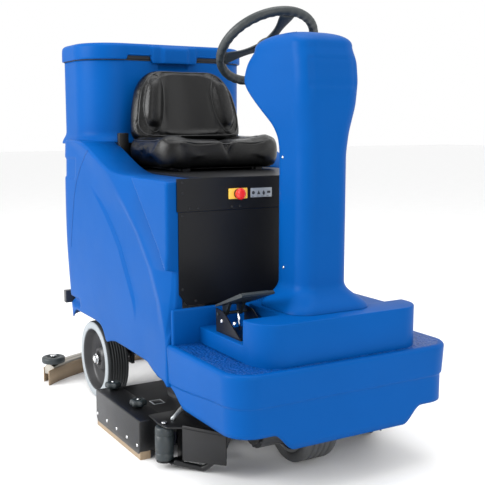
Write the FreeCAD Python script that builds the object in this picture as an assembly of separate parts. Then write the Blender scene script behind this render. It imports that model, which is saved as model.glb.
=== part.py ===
"""Ride-on floor scrubber, as an assembly of named sub-parts.

Millimetres. +Z is up, the nose points to -Y, and +X is the operator's left.
The origin is on the floor, under the middle of the machine's length and width.
Lengths along the machine are stated as distances behind the nose and turned into Y by along().
"""
import FreeCAD, Part
import math
import os

Vector = FreeCAD.Vector
X_AXIS = Vector(1, 0, 0)
Z_AXIS = Vector(0, 0, 1)

# ---- driving dimensions ----------------------------------------------------------------------
overall_length = 1660.0      # nose to the back of the squeegee
body_width = 800.0           # over the two sides of the moulded body
wall = 6.0                   # rotomoulded wall
running_gap = 0.05           # radial clearance of a shaft in its bore
free_gap = 0.3               # between faces on pieces that move past each other
panel_gap = 0.3              # behind a bolted panel

# nose moulding with the step and the plinth
deck_height = 390.0
crease_height = 290.0
crease_inset = 10.0
nose_skirt_height = 207.0
lip_height = 155.0
lip_half = 200.0
nose_radius = 90.0
plinth_height = 516.0
plinth_half = 295.0
plinth_front = 30.0
footwell_height = 440.0
footwell_front = 143.0
footwell_inner = 160.0        # the right well reaches in to this far from the middle
left_well_inner = 225.0       # and the left well to this

# body moulding
body_front = 430.0
seat_box_height = 898.0
body_rear = 1500.0
body_rear_height = 1010.0
body_top_front = 1220.0     # the level top that carries the tank
body_top_rear = 1400.0
panel_right = 357.0           # the panels reach this far to the right
panel_left = 207.0            # and this far to the left, where the body's corner is cut off
corner_cut_front = 215.0      # the cut corner starts this far left on the body's front
corner_cut_rear = 685.0       # and ends at this station on its left side
panel_bottom = 508.0
panel_front = body_front - 4
seat_bay_half = 272.0
seat_bay_rear = 1188.0
channel_depth = 35.0
arch_height = 340.0
arch_front = 1003.0
arch_rear = 1400.0

# wheels
rear_wheel_radius = 152.5
rear_wheel_width = 90.0
rear_wheel_outer = 358.0
rear_axle_station = 1200.0
axle_radius = 12.0
front_wheel_radius = 125.0
front_wheel_width = 118.0
front_wheel_station = 270.0

# steering
column_half = 88.0
column_front = 137.0
column_rear = 312.0
column_corner = 55.0
column_foot_spread = 60.0      # the foot reaches this far past the stem at the sides
column_foot_toe = 54.0         # and this far at the front
column_foot_height = 20.0
head_half = 110.0
wheel_station = 489.0
wheel_height = 1318.0
wheel_radius = 175.0
wheel_rim = 15.0
wheel_tilt = 39.5            # degrees from level, front side high
shaft_radius = 10.0
shaft_station = 185.0        # upright steering shaft

# recovery tank
tank_half = 355.0
tank_front = 1195.0
tank_rear = 1560.0
tank_rim = 1314.0
tank_front_radius = 150.0
tank_rear_radius = 110.0
gasket_thickness = 4.0
lid_thickness = 63.0
lid_overlap = 6.0

# seat
cushion_width = 460.0
cushion_front = 776.0
cushion_rear = 1085.0
cushion_bottom = 938.0
cushion_thickness = 62.0
back_width = 450.0
back_top = 1276.0
back_thickness = 60.0
back_lean = 13.0             # degrees

# scrub deck
deck_plate_top = 128.0
deck_plate_thickness = 6.0
side_box_outer = 465.0
side_box_front = 505.0
side_box_rear = 895.0
side_box_bottom = 30.0
brush_radius = 178.0
brush_spacing = 370.0
brush_station = 700.0
knob_radius = 22.0
knob_height = 28.0
lift_pivot = (1135.0, 280.0)     # station and height of the lower arms' pivot on the frame
lift_vector = (-265.0, -140.0)   # from that pivot to the one on the deck
link_rise = 45.0                 # the upper links lie this far above the lower arms
lift_pin_radius = 6.0

# frame
rail_inner = 215.0
rail_width = 40.0
rail_bottom = 345.0
rail_top = 395.0
tray_thickness = 5.0
battery_height = 250.0

# squeegee
squeegee_radius = 770.0          # plan radius of the rear blade
squeegee_tip_half = 472.0
squeegee_pivot = (1395.0, 235.0)
bumper_wheel_radius = 48.0
bumper_wheel_height = 27.0
bumper_wheel_x = 430.0
gum_thickness = 4.0
hose_port_radius = 28.0          # outside of both suction ports
hose_port_wall = 5.0
hose_port_length = 40.0
tank_port_x = 150.0
tank_port_height = 1090.0
squeegee_port_collar = 31.0      # radius of the thicker foot of the squeegee's port
squeegee_port_back = 32.0        # the port's centre lies this far before the machine's rear
squeegee_port_foot = 40.0        # height of that foot
squeegee_head_bottom = 34.0
squeegee_head_top = 78.0
squeegee_head_depth = 48.0
blade_height = 62.0
bumper_wheel_station = 1490.0
arm_plate_front = 1592.0
arm_plate_rear = 1638.0
arm_plate_bottom = 110.0
arm_plate_thickness = 8.0

# deck details
knob_x = 412.0
knob_stations = (637.0, 864.0)

# ---- helpers shared by the sub-parts ---------------------------------------------------------


def along(station):
    """Y of a point that lies `station` behind the nose."""
    return station - overall_length / 2


def box(x0, x1, s0, s1, z0, z1):
    """Block between two X values, two stations and two heights."""
    return Part.makeBox(x1 - x0, s1 - s0, z1 - z0, Vector(x0, along(s0), z0))


def rod(radius, start, end):
    """Cylinder from one (x, station, z) point to another."""
    a = Vector(start[0], along(start[1]), start[2])
    b = Vector(end[0], along(end[1]), end[2])
    return Part.makeCylinder(radius, (b - a).Length, a, b - a)


def bent_bar(radius, points):
    """Round bar through (x, station, z) points, with rounded mitres at its bends."""
    path = Part.makePolygon([Vector(x, along(s), z) for x, s, z in points])
    start, following = path.Vertexes[0].Point, path.Vertexes[1].Point
    section = Part.Wire(Part.makeCircle(radius, start, following - start))
    return path.makePipeShell([section], True, True, 2)


def ring(outer, inner, start, end):
    """Tube from one (x, station, z) point to another."""
    return rod(outer, start, end).cut(rod(inner, start, end))


def side_prism(outline, x0, x1, grow=0.0):
    """Outline of (station, z) points, grown by grow and carried from x0 to x1."""
    points = [Vector(x0, along(s), z) for s, z in outline]
    face = Part.Face(Part.makePolygon(points + points[:1]))
    if grow:
        face = face.makeOffset2D(grow, 2)
    return face.extrude(Vector(x1 - x0, 0, 0))


def plan_prism(outline, z0, z1):
    """Outline of (x, station) points, carried from z0 to z1."""
    points = [Vector(x, along(s), z0) for x, s in outline]
    face = Part.Face(Part.makePolygon(points + points[:1]))
    return face.extrude(Vector(0, 0, z1 - z0))


def round_upright(shape, radius, s0, s1):
    """Round the upright edges of a shape whose station lies between s0 and s1."""
    edges = []
    for edge in shape.Edges:
        box_of = edge.BoundBox
        upright = box_of.ZLength > 1 and box_of.XLength < 0.01 and box_of.YLength < 0.01
        if upright and along(s0) <= box_of.YMin <= along(s1):
            edges.append(edge)
    return shape.makeFillet(radius, edges)


def rounded_block(half, s0, s1, z0, z1, front_radius, rear_radius=0.0):
    """Block centred on X = 0 with rounded upright corners."""
    shape = box(-half, half, s0, s1, z0, z1)
    if front_radius:
        shape = round_upright(shape, front_radius, s0 - 1, s0 + 1)
    if rear_radius:
        shape = round_upright(shape, rear_radius, s1 - 1, s1 + 1)
    return shape


def mirrored(shape):
    """The same shape on the other side of the machine."""
    return shape.mirror(Vector(0, 0, 0), X_AXIS)


def both_sides(shape):
    """A shape and its mirror image, as one group."""
    return Part.makeCompound([shape, mirrored(shape)])


def joined(shapes):
    """All the shapes as one solid."""
    whole = shapes[0].multiFuse(shapes[1:]) if len(shapes) > 1 else shapes[0]
    return whole.removeSplitter()


def solids_of(shape):
    """A group that holds only the solids of a shape."""
    if len(shape.Solids) == 1:
        return shape.Solids[0]
    return Part.makeCompound(shape.Solids)


# ---- nose moulding ---------------------------------------------------------------------------
skirt_rise = [(340, 100), (340, nose_skirt_height), (400, 234), (435, 253), (510, 270), (604, 296),
              (766, 301), (896, 302), (1010, 268), (1010, 100)]


def footwell(grow):
    """Wells for the operator's feet, open at the side and the rear. The left one is narrower."""
    depth = (footwell_front - grow, body_front + 30, footwell_height - grow, plinth_height + 50)
    right = box(-plinth_half - 20, -footwell_inner + grow, *depth)
    left = box(left_well_inner - grow, plinth_half + 20, *depth)
    return Part.makeCompound([right, left])


def nose_form(inset):
    """Outer form of the nose, or with an inset the space inside its wall."""
    half = body_width / 2 - inset
    floor = 1.0 if inset else 0.0
    radius = nose_radius - inset
    rear = body_front + floor
    shelf = crease_height + inset
    band = rounded_block(half, inset, rear, shelf, deck_height - inset, radius)
    skirt = rounded_block(half - crease_inset, inset + crease_inset, rear,
                          nose_skirt_height - floor, shelf, radius)
    lip = rounded_block(lip_half - inset, inset + crease_inset, front_wheel_station,
                        lip_height - floor, shelf, 40 - inset)
    plinth = rounded_block(plinth_half - inset, plinth_front + inset, rear,
                           shelf, plinth_height - inset, radius)
    return joined([band, skirt, lip, plinth.cut(footwell(inset))])


def nose_cowl():
    """Rotomoulded nose: bumper band, step, plinth and footwell."""
    shell = nose_form(0).cut(nose_form(wall))
    shell = shell.cut(side_prism(skirt_rise, -body_width / 2 - 5, body_width / 2 + 5))
    shell = shell.cut(box(-column_half + 30, column_half - 30, column_front + 20, column_rear - 20,
                          plinth_height - 2 * wall, plinth_height + 1))
    shell = shell.cut(box(-panel_right - 1, panel_left + 1, panel_front - 1, body_front + 2,
                          panel_bottom - 2, plinth_height + 1))
    inner_wall = box(-lip_half - 1, lip_half + 1, 60, front_wheel_station + 1, 0, crease_height)
    return solids_of(shell.cut(inner_wall))


# ---- body moulding ---------------------------------------------------------------------------
channel_outline = [(700, 925), (440, 623), (425, 560), (425, 470), (478, 515), (542, 613),
                   (645, 721), (770, 813), (880, 885), (880, 925)]


def body_profile(inset):
    """Side outline of the body, or of the space inside its wall."""
    low = 100.0
    seat = seat_box_height
    return [(body_front + inset, low), (body_front + inset, seat - inset),
            (780 + inset / 2, seat - inset), (955 + inset / 2, 928 - inset),
            (1090, 978 - inset), (body_top_front, body_rear_height - inset),
            (body_top_rear, body_rear_height - inset), (body_rear - inset, 940 - inset),
            (1485 - inset, 600), (1455 - inset, 300), (1455 - inset, low)]


def corner_cut(grow):
    """What is cut off the body's left front corner, above the foot wells, grown inwards by grow."""
    half = body_width / 2
    run = math.hypot(half - corner_cut_front, corner_cut_rear - body_front)
    across = (half - corner_cut_front) / run * grow
    back = (corner_cut_rear - body_front) / run * grow
    start = (corner_cut_front - back, body_front + across)
    end = (half - back, corner_cut_rear + across)
    step = (end[0] - start[0], end[1] - start[1])
    before = (start[0] - step[0] / 2, start[1] - step[1] / 2)
    beyond = (end[0] + step[0] / 2, end[1] + step[1] / 2)
    return plan_prism([before, beyond, (beyond[0], before[1])], footwell_height - grow, seat_box_height + 200)


def body_shell():
    """Rotomoulded body: solution tank walls, fenders, seat box and wheel arches."""
    half = body_width / 2
    outer = side_prism(body_profile(0), -half, half)
    inner = side_prism(body_profile(wall), -half + wall, half - wall)
    for side in (-1, 1):
        channel = side_prism(channel_outline, side * (half - channel_depth), side * (half + 5))
        behind = side_prism(channel_outline, side * (half - channel_depth - wall), side * half, wall)
        outer = outer.cut(channel)
        inner = inner.cut(behind)
    shell = outer.cut(corner_cut(0)).cut(inner.cut(corner_cut(wall)))
    shell = shell.cut(box(-seat_bay_half, seat_bay_half, body_front - 1, seat_bay_rear,
                          seat_box_height, body_rear_height + 5))
    mouth = box(-seat_bay_half + 17, seat_bay_half - 17, body_front + 40, seat_bay_rear - 68,
                seat_box_height - 40, seat_box_height + 5)
    shell = shell.cut(mouth.cut(corner_cut(17)))
    bay_rear = box(-seat_bay_half - wall, seat_bay_half + wall, seat_bay_rear,
                   seat_bay_rear + wall, seat_box_height - 20, body_rear_height - 2)
    shell = shell.fuse(bay_rear)
    shell = shell.cut(box(-345, panel_left - 12, body_front - 1, body_front + wall + 1, 525, 880))
    for side in (-1, 1):
        arch = side_prism([(arch_front, 90), (arch_front, arch_height - 40),
                           (arch_front + 40, arch_height), (arch_rear - 40, arch_height),
                           (arch_rear, arch_height - 40), (arch_rear, 90)],
                          side * 240, side * (half + 5))
        shell = shell.cut(arch)
    shell = shell.cut(side_prism(skirt_rise, -half - 5, half + 5))
    shell = shell.cut(box(-half - 5, half + 5, 1000, body_rear + 5, 90, 296))
    notch = rail_inner + rail_width + 4
    shell = shell.cut(box(-notch, notch, body_front - 5, body_front + wall + 1, 90, rail_top + 4))
    return solids_of(shell)


# ---- frame -----------------------------------------------------------------------------------
bearing_radius = 30.0


def main_frame():
    """Welded steel frame, as its tubes and bars face to face, with the bearing tube and lugs."""
    rail_outer = rail_inner + rail_width
    inside = body_width / 2 - wall
    pieces = []
    for side in (-1, 1):
        x0, x1 = sorted((side * rail_inner, side * rail_outer))
        pieces.append(box(x0, x1, 60, 1440, rail_bottom, rail_top))
        a0, a1 = sorted((side * 200, side * 212))
        pieces.append(box(a0, a1, rear_axle_station - 35, rear_axle_station + 35,
                          rear_wheel_radius - 30, rail_bottom))
        pieces.append(box(min(a0, x0), max(a1, x1), rear_axle_station - 35,
                          rear_axle_station + 35, rail_bottom - 8, rail_bottom))
    pieces.append(box(-inside, inside, 560, 600, rail_bottom, rail_top))
    pieces.append(box(-rail_outer, rail_outer, 1105, 1155, rail_bottom, rail_top))
    pieces.append(box(-rail_outer, rail_outer, 1380, 1440, rail_bottom, rail_top))
    pieces.append(box(-inside, inside, 1410, 1435, rail_bottom, rail_top))
    nose_bar_top = deck_height - wall
    pieces.append(box(-inside, inside, 100, 125, rail_bottom, nose_bar_top))
    pieces.append(box(-rail_outer, rail_outer, 125, 415, rail_top - 12, rail_top))
    station, height = lift_pivot
    for x in (-67, -43, 43, 67):
        pieces.append(box(x - 3, x + 3, station - 15, station + 15, height - 15, rail_bottom))
    squeegee_station, squeegee_z = squeegee_pivot
    for x in (-67, 67):
        pieces.append(box(x - 4, x + 4, squeegee_station - 15, squeegee_station + 15,
                          squeegee_z - 15, rail_bottom))
    pieces.append(box(-71, 71, squeegee_station - 15, squeegee_station + 15,
                      rail_bottom - 6, rail_bottom))
    centre = (0, front_wheel_station)
    pieces.append(rod(bearing_radius + 15, centre + (rail_top - 50,), centre + (rail_top + 10,)))
    frame = joined(pieces)
    cuts = [rod(bearing_radius + running_gap, centre + (300,), centre + (rail_top + 20,))]
    axle = rear_axle_station
    cuts.append(rod(axle_radius + running_gap, (-300, axle, rear_wheel_radius),
                    (300, axle, rear_wheel_radius)))
    for rise in (0, link_rise):
        cuts.append(rod(lift_pin_radius + running_gap, (-80, station, height + rise),
                        (80, station, height + rise)))
    cuts.append(rod(lift_pin_radius + running_gap, (-80, squeegee_station, squeegee_z),
                    (80, squeegee_station, squeegee_z)))
    for side in (-1, 1):
        x0, x1 = sorted((side * (rail_inner + 4), side * (rail_outer - 4)))
        cuts.append(box(x0, x1, 59, 1441, rail_bottom + 4, rail_top - 4))
    frame = frame.cut(Part.makeCompound(cuts))
    tubes = []
    for x0, x1 in ((-inside, -rail_outer), (-rail_outer, -rail_inner), (-rail_inner, rail_inner),
                   (rail_inner, rail_outer), (rail_outer, inside)):
        tubes += frame.common(box(x0, x1, 0, body_rear, 0, deck_height + 60)).Solids
    tray = box(-rail_outer, rail_outer, 470, 1100, rail_top, rail_top + tray_thickness)
    return Part.makeCompound(tubes + [tray])


def battery_pack():
    """Four wet-cell batteries standing on the tray."""
    cells = []
    for x0 in (-240, 5):
        for s0 in (480, 675):
            floor = rail_top + tray_thickness
            case = box(x0, x0 + 235, s0, s0 + 180, floor, floor + battery_height)
            lid = floor + battery_height
            posts = [rod(9, (x0 + a, s0 + 30, lid - 1), (x0 + a, s0 + 30, lid + 17)) for a in (40, 195)]
            cells.append(joined([case] + posts))
    return Part.makeCompound(cells)


def vacuum_motor():
    """Suction motor hung from the top of the body, under the tank."""
    top = body_rear_height - wall
    s = (body_top_front + body_top_rear) / 2
    return joined([rod(70, (0, s, top - 150), (0, s, top)),
                   rod(84, (0, s, top - 12), (0, s, top)),
                   rod(24, (0, s, top - 90), (0, s + 100, top - 90))])


# ---- rear wheels -----------------------------------------------------------------------------
rear_wheel_inner = rear_wheel_outer - rear_wheel_width


def rear_axle():
    """Solid axle with collars inside the wheels and nuts outside them."""
    s, z = rear_axle_station, rear_wheel_radius
    pieces = [rod(axle_radius, (-336, s, z), (336, s, z))]
    for side in (-1, 1):
        pieces.append(rod(22, (side * 212.5, s, z), (side * (rear_wheel_inner - 0.5), s, z)))
        nut = Part.makePolygon([Vector(side * 330, along(s) + 19 * math.cos(math.radians(a)),
                                       z + 19 * math.sin(math.radians(a)))
                                for a in range(0, 361, 60)])
        pieces.append(Part.Face(nut).extrude(Vector(side * 16, 0, 0)))
        pieces.append(rod(26, (side * 327.5, s, z), (side * 330, s, z)))
    return joined(pieces)


def rear_tyre():
    """Solid rubber tyre of the right rear wheel, with grooves round its tread."""
    s, z = rear_axle_station, rear_wheel_radius
    tyre = ring(rear_wheel_radius, 122, (-rear_wheel_outer, s, z), (-rear_wheel_inner, s, z))
    tyre = tyre.makeFillet(8, [e for e in tyre.Edges
                               if abs(e.BoundBox.ZMax - 2 * rear_wheel_radius) < 0.1
                               and e.BoundBox.XLength < 1])
    for i in range(6):
        x = -rear_wheel_outer + 15 + i * 12
        tyre = tyre.cut(ring(rear_wheel_radius + 1, rear_wheel_radius - 4, (x, s, z), (x + 2.5, s, z)))
    return tyre


def rear_hub():
    """Dished hub of the right rear wheel, which turns on the axle."""
    s, z = rear_axle_station, rear_wheel_radius
    rim = ring(122, 112, (-rear_wheel_outer + 6, s, z), (-rear_wheel_inner - 6, s, z))
    web = rod(114, (-310, s, z), (-300, s, z))
    boss = rod(34, (-327, s, z), (-rear_wheel_inner, s, z))
    return joined([rim, web, boss]).cut(rod(axle_radius + running_gap, (-400, s, z), (-200, s, z)))


# ---- drive unit and front wheel --------------------------------------------------------------
fork_plate_x = -front_wheel_width / 2 - 14


def steer_fork():
    """Fork that carries the front wheel: side plate, crown, kingpin and sprocket."""
    s = front_wheel_station
    plate = box(fork_plate_x, fork_plate_x + 8, s - 45, s + 45, 85, 318)
    crown = box(fork_plate_x, 60, s - 45, s + 45, 306, 318)
    collar = rod(bearing_radius + 12, (0, s, 318), (0, s, rail_top - 50 - free_gap))
    kingpin = rod(bearing_radius, (0, s, 318), (0, s, rail_top + 12))
    sprocket = rod(54, (0, s, rail_top + 12), (0, s, rail_top + 20))
    fork = joined([plate, crown, collar, kingpin, sprocket])
    return fork.cut(rod(30, (-120, s, front_wheel_radius), (-50, s, front_wheel_radius)))


def drive_motor():
    """Drive motor on the fork's right side, with the shaft that carries the wheel."""
    s, z = front_wheel_station, front_wheel_radius
    flange = rod(62, (fork_plate_x - 10, s, z), (fork_plate_x, s, z))
    case = rod(56, (-178, s, z), (fork_plate_x - 9, s, z))
    cap = rod(44, (-190, s, z), (-177, s, z))
    spigot = rod(29.9, (fork_plate_x - 1, s, z), (fork_plate_x + 8, s, z))
    shaft = rod(axle_radius, (fork_plate_x, s, z), (front_wheel_width / 2 + 4, s, z))
    nut = rod(20, (front_wheel_width / 2 - 8, s, z), (front_wheel_width / 2 + 4, s, z))
    bolts = []
    for k in range(6):
        a = math.radians(60 * k + 30)
        where = (s + 50 * math.cos(a), z + 50 * math.sin(a))
        bolts.append(rod(5, (-183,) + where, (-177,) + where))
    return joined([flange, case, cap, spigot, shaft, nut] + bolts)


def front_tyre():
    """Solid tyre of the drive wheel, bevelled at both shoulders."""
    s, z = front_wheel_station, front_wheel_radius
    half = front_wheel_width / 2
    tyre = ring(front_wheel_radius, 92, (-half, s, z), (half, s, z))
    return tyre.makeChamfer(9, [e for e in tyre.Edges
                                if abs(e.BoundBox.ZMax - 2 * front_wheel_radius) < 0.1
                                and e.BoundBox.XLength < 1])


def front_hub():
    """Hub of the drive wheel."""
    s, z = front_wheel_station, front_wheel_radius
    half = front_wheel_width / 2
    hub = joined([ring(92, 82, (-half + 2, s, z), (half - 2, s, z)),
                  rod(84, (-6, s, z), (6, s, z)),
                  rod(28, (-half + 2, s, z), (half - 8.5, s, z))])
    return hub.cut(rod(axle_radius + running_gap, (-100, s, z), (100, s, z)))


# ---- steering --------------------------------------------------------------------------------
lean = math.radians(wheel_tilt)
wheel_axis = Vector(0, math.sin(lean), math.cos(lean))
wheel_centre = Vector(0, along(wheel_station), wheel_height)
joint_drop = (wheel_station - shaft_station) / math.sin(lean)   # along the axis, hub to upright shaft
joint_height = wheel_height - joint_drop * math.cos(lean)


def on_axis(distance):
    """Point on the steering wheel's axis, measured down from its centre."""
    return wheel_centre - wheel_axis * distance


def axis_rod(radius, upper, lower):
    """Cylinder on the steering wheel's axis."""
    return Part.makeCylinder(radius, lower - upper, on_axis(lower), wheel_axis)


def steering_wheel():
    """Rim with three spokes and a hub."""
    rim = Part.makeTorus(wheel_radius - wheel_rim, wheel_rim, wheel_centre, wheel_axis)
    pieces = [rim, axis_rod(30, -6, 22)]
    for angle in (20, 160, 270):
        spoke = Part.makeBox(wheel_radius - wheel_rim, 30, 9, Vector(0, -15, -4.5))
        spoke.rotate(Vector(0, 0, 0), Z_AXIS, angle)
        spoke.rotate(Vector(0, 0, 0), X_AXIS, -wheel_tilt)
        spoke.translate(wheel_centre)
        pieces.append(spoke)
    return joined(pieces)


def steering_shaft():
    """Sloping shaft from the wheel's hub to the universal joint."""
    return joined([axis_rod(shaft_radius, 22, joint_drop - 22),
                   axis_rod(15, joint_drop - 50, joint_drop - 20)])


def upright_shaft():
    """Upright shaft from the universal joint down to the small sprocket."""
    s = shaft_station
    return joined([rod(shaft_radius, (0, s, rail_top + 5), (0, s, joint_height - 20)),
                   rod(15, (0, s, joint_height - 48), (0, s, joint_height - 18)),
                   rod(18, (0, s, rail_top + 12), (0, s, rail_top + 20))])


def steering_chain():
    """Roller chain round the two sprockets, drawn as a plain band."""
    z0, z1 = rail_top + 13, rail_top + 19
    big, small = 54.0, 18.0
    distance = front_wheel_station - shaft_station
    a = math.acos((big - small) / distance)

    def band(extra):
        outline = []
        for k in range(25):
            t = -(math.pi - a) + 2 * (math.pi - a) * k / 24
            outline.append(((big + extra) * math.sin(t),
                            front_wheel_station + (big + extra) * math.cos(t)))
        for k in range(13):
            t = (math.pi - a) + 2 * a * k / 12
            outline.append(((small + extra) * math.sin(t),
                            shaft_station + (small + extra) * math.cos(t)))
        return plan_prism(outline, z0, z1)

    return band(6).cut(band(0.6))


def steering_mast():
    """Bent post inside the column, with the bearings of both steering shafts."""
    s = shaft_station
    post = box(-25, 25, 235, 275, rail_top + 22, 1010)
    foot = joined([box(x, x + 12, 228, 330, rail_top, rail_top + 34) for x in (-90, 78)]
                  + [box(-90, 90, 236, 280, rail_top + 22, rail_top + 34)])
    blocks = [box(-25, 25, s - 22, 240, z, z + 24) for z in (rail_top + 60, 780)]
    upper = axis_rod(24, 150, 180)
    head_post = side_prism([(240, 990), (275, 1000), (300, 1040), (400, 1170), (400, 1205),
                            (370, 1205)], -20, 20)
    mast = joined([post, foot, head_post, upper] + blocks)
    bores = [rod(shaft_radius + running_gap, (0, s, rail_top), (0, s, 1000)),
             axis_rod(shaft_radius + running_gap, 0, 330),
             axis_rod(17, 190, joint_drop), axis_rod(17, 20, 140)]
    return solids_of(mast.cut(Part.makeCompound(bores)))


head_outline = [(column_rear, 1030), (335, 1068), (380, 1105), (447, 1158), (484, 1192), (486, 1215),
                (462, 1262), (420, 1302), (345, 1334), (260, 1344), (190, 1334), (148, 1305),
                (122, 1255), (115, 1200), (119, 1130), (130, 1060), (column_front, 985)]


def column_form(inset):
    """Outer form of the column shroud, or of the space inside it."""
    top = plinth_height - (1 if inset else 0)
    stem = rounded_block(column_half - inset, column_front + inset, column_rear - inset,
                         top, 1045, column_corner - inset, column_corner - inset)
    foot = rounded_block(column_half + column_foot_spread - inset,
                         column_front - column_foot_toe + inset, column_rear + 12 - inset,
                         top, plinth_height + column_foot_height - inset,
                         column_corner + 18 - inset, column_corner + 18 - inset)
    centre_s, centre_z = 300.0, 1190.0
    shrink = 1 - inset / 110.0
    outline = [(centre_s + (s - centre_s) * shrink, centre_z + (z - centre_z) * shrink)
               for s, z in head_outline]
    head = side_prism(outline, -head_half + inset, head_half - inset)
    return joined([stem, foot, head])


split_station = 285.0


def column_shell():
    """Whole shroud, hollow, with the opening for the steering shaft."""
    shell = column_form(0).cut(column_form(wall))
    shell = shell.cut(axis_rod(16, 0, 160))
    mark = box(-82, 82, 100, 118, 1177, 1267)
    return shell.cut(mark)


def column_cover():
    """Front shroud: column front and head."""
    back = box(-70, 70, split_station, 400, plinth_height - 5, 1030)
    return solids_of(column_shell().cut(back))


def column_back_cover():
    """Removable cover at the back of the column."""
    back = box(-70 + panel_gap, 70 - panel_gap, split_station + panel_gap, 400,
               plinth_height, 1030 - panel_gap)
    return solids_of(column_shell().common(back))


# ---- recovery tank ---------------------------------------------------------------------------


def tank_plan(extra, z0, z1):
    """Plan form of the tank, grown outwards by extra."""
    return rounded_block(tank_half + extra, tank_front - extra, tank_rear + extra, z0, z1,
                         tank_front_radius + extra, tank_rear_radius + extra)


def recovery_tank():
    """Open-topped tank for the dirty water, on top of the body."""
    outer = tank_plan(0, body_rear_height, tank_rim)
    tank = outer.cut(tank_plan(-wall, body_rear_height + wall, tank_rim + 1))
    x, z = tank_port_x, tank_port_height
    port = rod(hose_port_radius, (x, tank_rear - 3, z), (x, tank_rear + hose_port_length, z))
    bore = rod(hose_port_radius - hose_port_wall, (x, tank_rear - 20, z),
               (x, tank_rear + hose_port_length + 1, z))
    recess = box(-60, 60, tank_front - 1, tank_front + 3, tank_rim - 30, tank_rim + 1)
    return solids_of(tank.fuse(port).cut(bore).cut(recess))


def lid_gasket():
    """Rubber seal on the tank's rim."""
    z1 = tank_rim + gasket_thickness
    return tank_plan(0, tank_rim, z1).cut(tank_plan(-wall - 4, tank_rim - 1, z1 + 1))


hinge_x = 200.0
hinge_station = tank_rear + 18
hinge_height = tank_rim - 6


def tank_lid():
    """Lid with a finger grip at the front and two hinge lugs at the rear."""
    z0 = tank_rim + gasket_thickness
    z1 = z0 + lid_thickness
    lid = tank_plan(lid_overlap, z0, z1)
    lid = lid.cut(tank_plan(-wall - 6, z0 - 1, z1 - wall))
    grip = box(-78, 78, tank_front - 20, tank_front, z0 + 2, z1 - 14)
    pieces = [lid, grip]
    for x in (-hinge_x, hinge_x):
        lug = side_prism([(tank_rear - 2, z0 + 4), (tank_rear - 2, z0 + 22),
                          (hinge_station + 8, z0 + 22), (hinge_station + 8, hinge_height - 8),
                          (hinge_station - 8, hinge_height - 8), (hinge_station - 8, z0 + 4)],
                         x - 12, x + 12)
        pieces.append(lug)
    whole = joined(pieces)
    for x in (-hinge_x, hinge_x):
        whole = whole.cut(rod(4 + running_gap, (x - 20, hinge_station, hinge_height),
                              (x + 20, hinge_station, hinge_height)))
    return solids_of(whole)


def lid_hinges():
    """Two hinge brackets on the tank, each with its pin."""
    brackets = []
    for x in (-hinge_x, hinge_x):
        ears = [box(x + a, x + a + 4, tank_rear, hinge_station + 8, hinge_height - 22,
                    hinge_height + 7) for a in (-17, 13)]
        back = box(x - 17, x + 17, tank_rear, tank_rear + 3, hinge_height - 40, hinge_height - 14)
        pin = rod(4, (x - 19, hinge_station, hinge_height), (x + 19, hinge_station, hinge_height))
        brackets.append(joined(ears + [back, pin]))
    return Part.makeCompound(brackets)


# ---- seat ------------------------------------------------------------------------------------
seat_plate_top = seat_box_height + 7
rail_x = 150.0


def seat_plate():
    """Steel plate over the seat box, with its rear flange and the two slide rails."""
    plate = box(-265, 265, body_front + 12, seat_bay_rear - 32, seat_box_height, seat_plate_top)
    plate = plate.cut(corner_cut(3))
    flange = box(-265, 265, 1150, seat_bay_rear - 32, seat_box_height, 1000)
    pieces = [plate, flange]
    for x in (-rail_x, rail_x):
        pieces.append(box(x - 12, x + 12, 790, 1120, seat_plate_top, seat_plate_top + 8))
    return joined(pieces)


def seat_pan():
    """Moulded pan under the cushion, which slides on the rails."""
    z0 = seat_plate_top + 8 + free_gap
    pan = box(-205, 205, cushion_front + 22, cushion_rear + 10, z0, cushion_bottom)
    lean_angle = math.radians(back_lean)
    foot_s = cushion_rear - 28 + back_thickness * math.cos(lean_angle) + free_gap
    foot_z = cushion_bottom + cushion_thickness
    rise = 140.0
    head_s, head_z = foot_s + rise * math.sin(lean_angle), foot_z + rise * math.cos(lean_angle)
    upright = side_prism([(cushion_rear, z0), (cushion_rear, foot_z - 15), (foot_s, foot_z),
                          (head_s, head_z), (head_s + 8, head_z - 2), (foot_s + 9, foot_z - 10),
                          (cushion_rear + 12, foot_z - 38), (cushion_rear + 12, z0)], -170, 170)
    for x in (-rail_x, rail_x):
        pan = pan.fuse(box(x - 22, x - 12 - free_gap, 800, 1080, seat_plate_top + 1, z0))
        pan = pan.fuse(box(x + 12 + free_gap, x + 22, 800, 1080, seat_plate_top + 1, z0))
    return joined([pan, upright])


def rounded_pad(shape, radius):
    """A pad with every edge rounded."""
    return shape.makeFillet(radius, shape.Edges)


def seat_cushion():
    """Seat cushion, as a plain rounded pad."""
    pad = box(-cushion_width / 2, cushion_width / 2, cushion_front, cushion_rear - free_gap,
              cushion_bottom, cushion_bottom + cushion_thickness)
    return rounded_pad(pad, 22)


def seat_backrest():
    """Backrest, as a plain rounded pad that leans back."""
    lean_angle = math.radians(back_lean)
    base = cushion_bottom + cushion_thickness + free_gap
    height = (back_top - base) / math.cos(lean_angle) - back_thickness * math.tan(lean_angle)
    pad = Part.makeBox(back_width, back_thickness, height,
                       Vector(-back_width / 2, 0, 0))
    pad = rounded_pad(pad, 22)
    pad.rotate(Vector(0, 0, 0), X_AXIS, -back_lean)
    pad.translate(Vector(0, along(cushion_rear - 28), base + back_thickness * math.sin(lean_angle)))
    return pad


# ---- panels and controls at the front of the seat box ----------------------------------------
panel_split = 803.0
estop_x = -150.0
estop_z = 853.0


def control_strip():
    """Upper panel with the controls."""
    strip = box(-panel_right - 5, panel_left + 5, panel_front - 2, body_front,
                panel_split, seat_box_height + 7)
    return strip.cut(rod(11, (estop_x, panel_front - 10, estop_z), (estop_x, body_front + 10, estop_z)))


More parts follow.
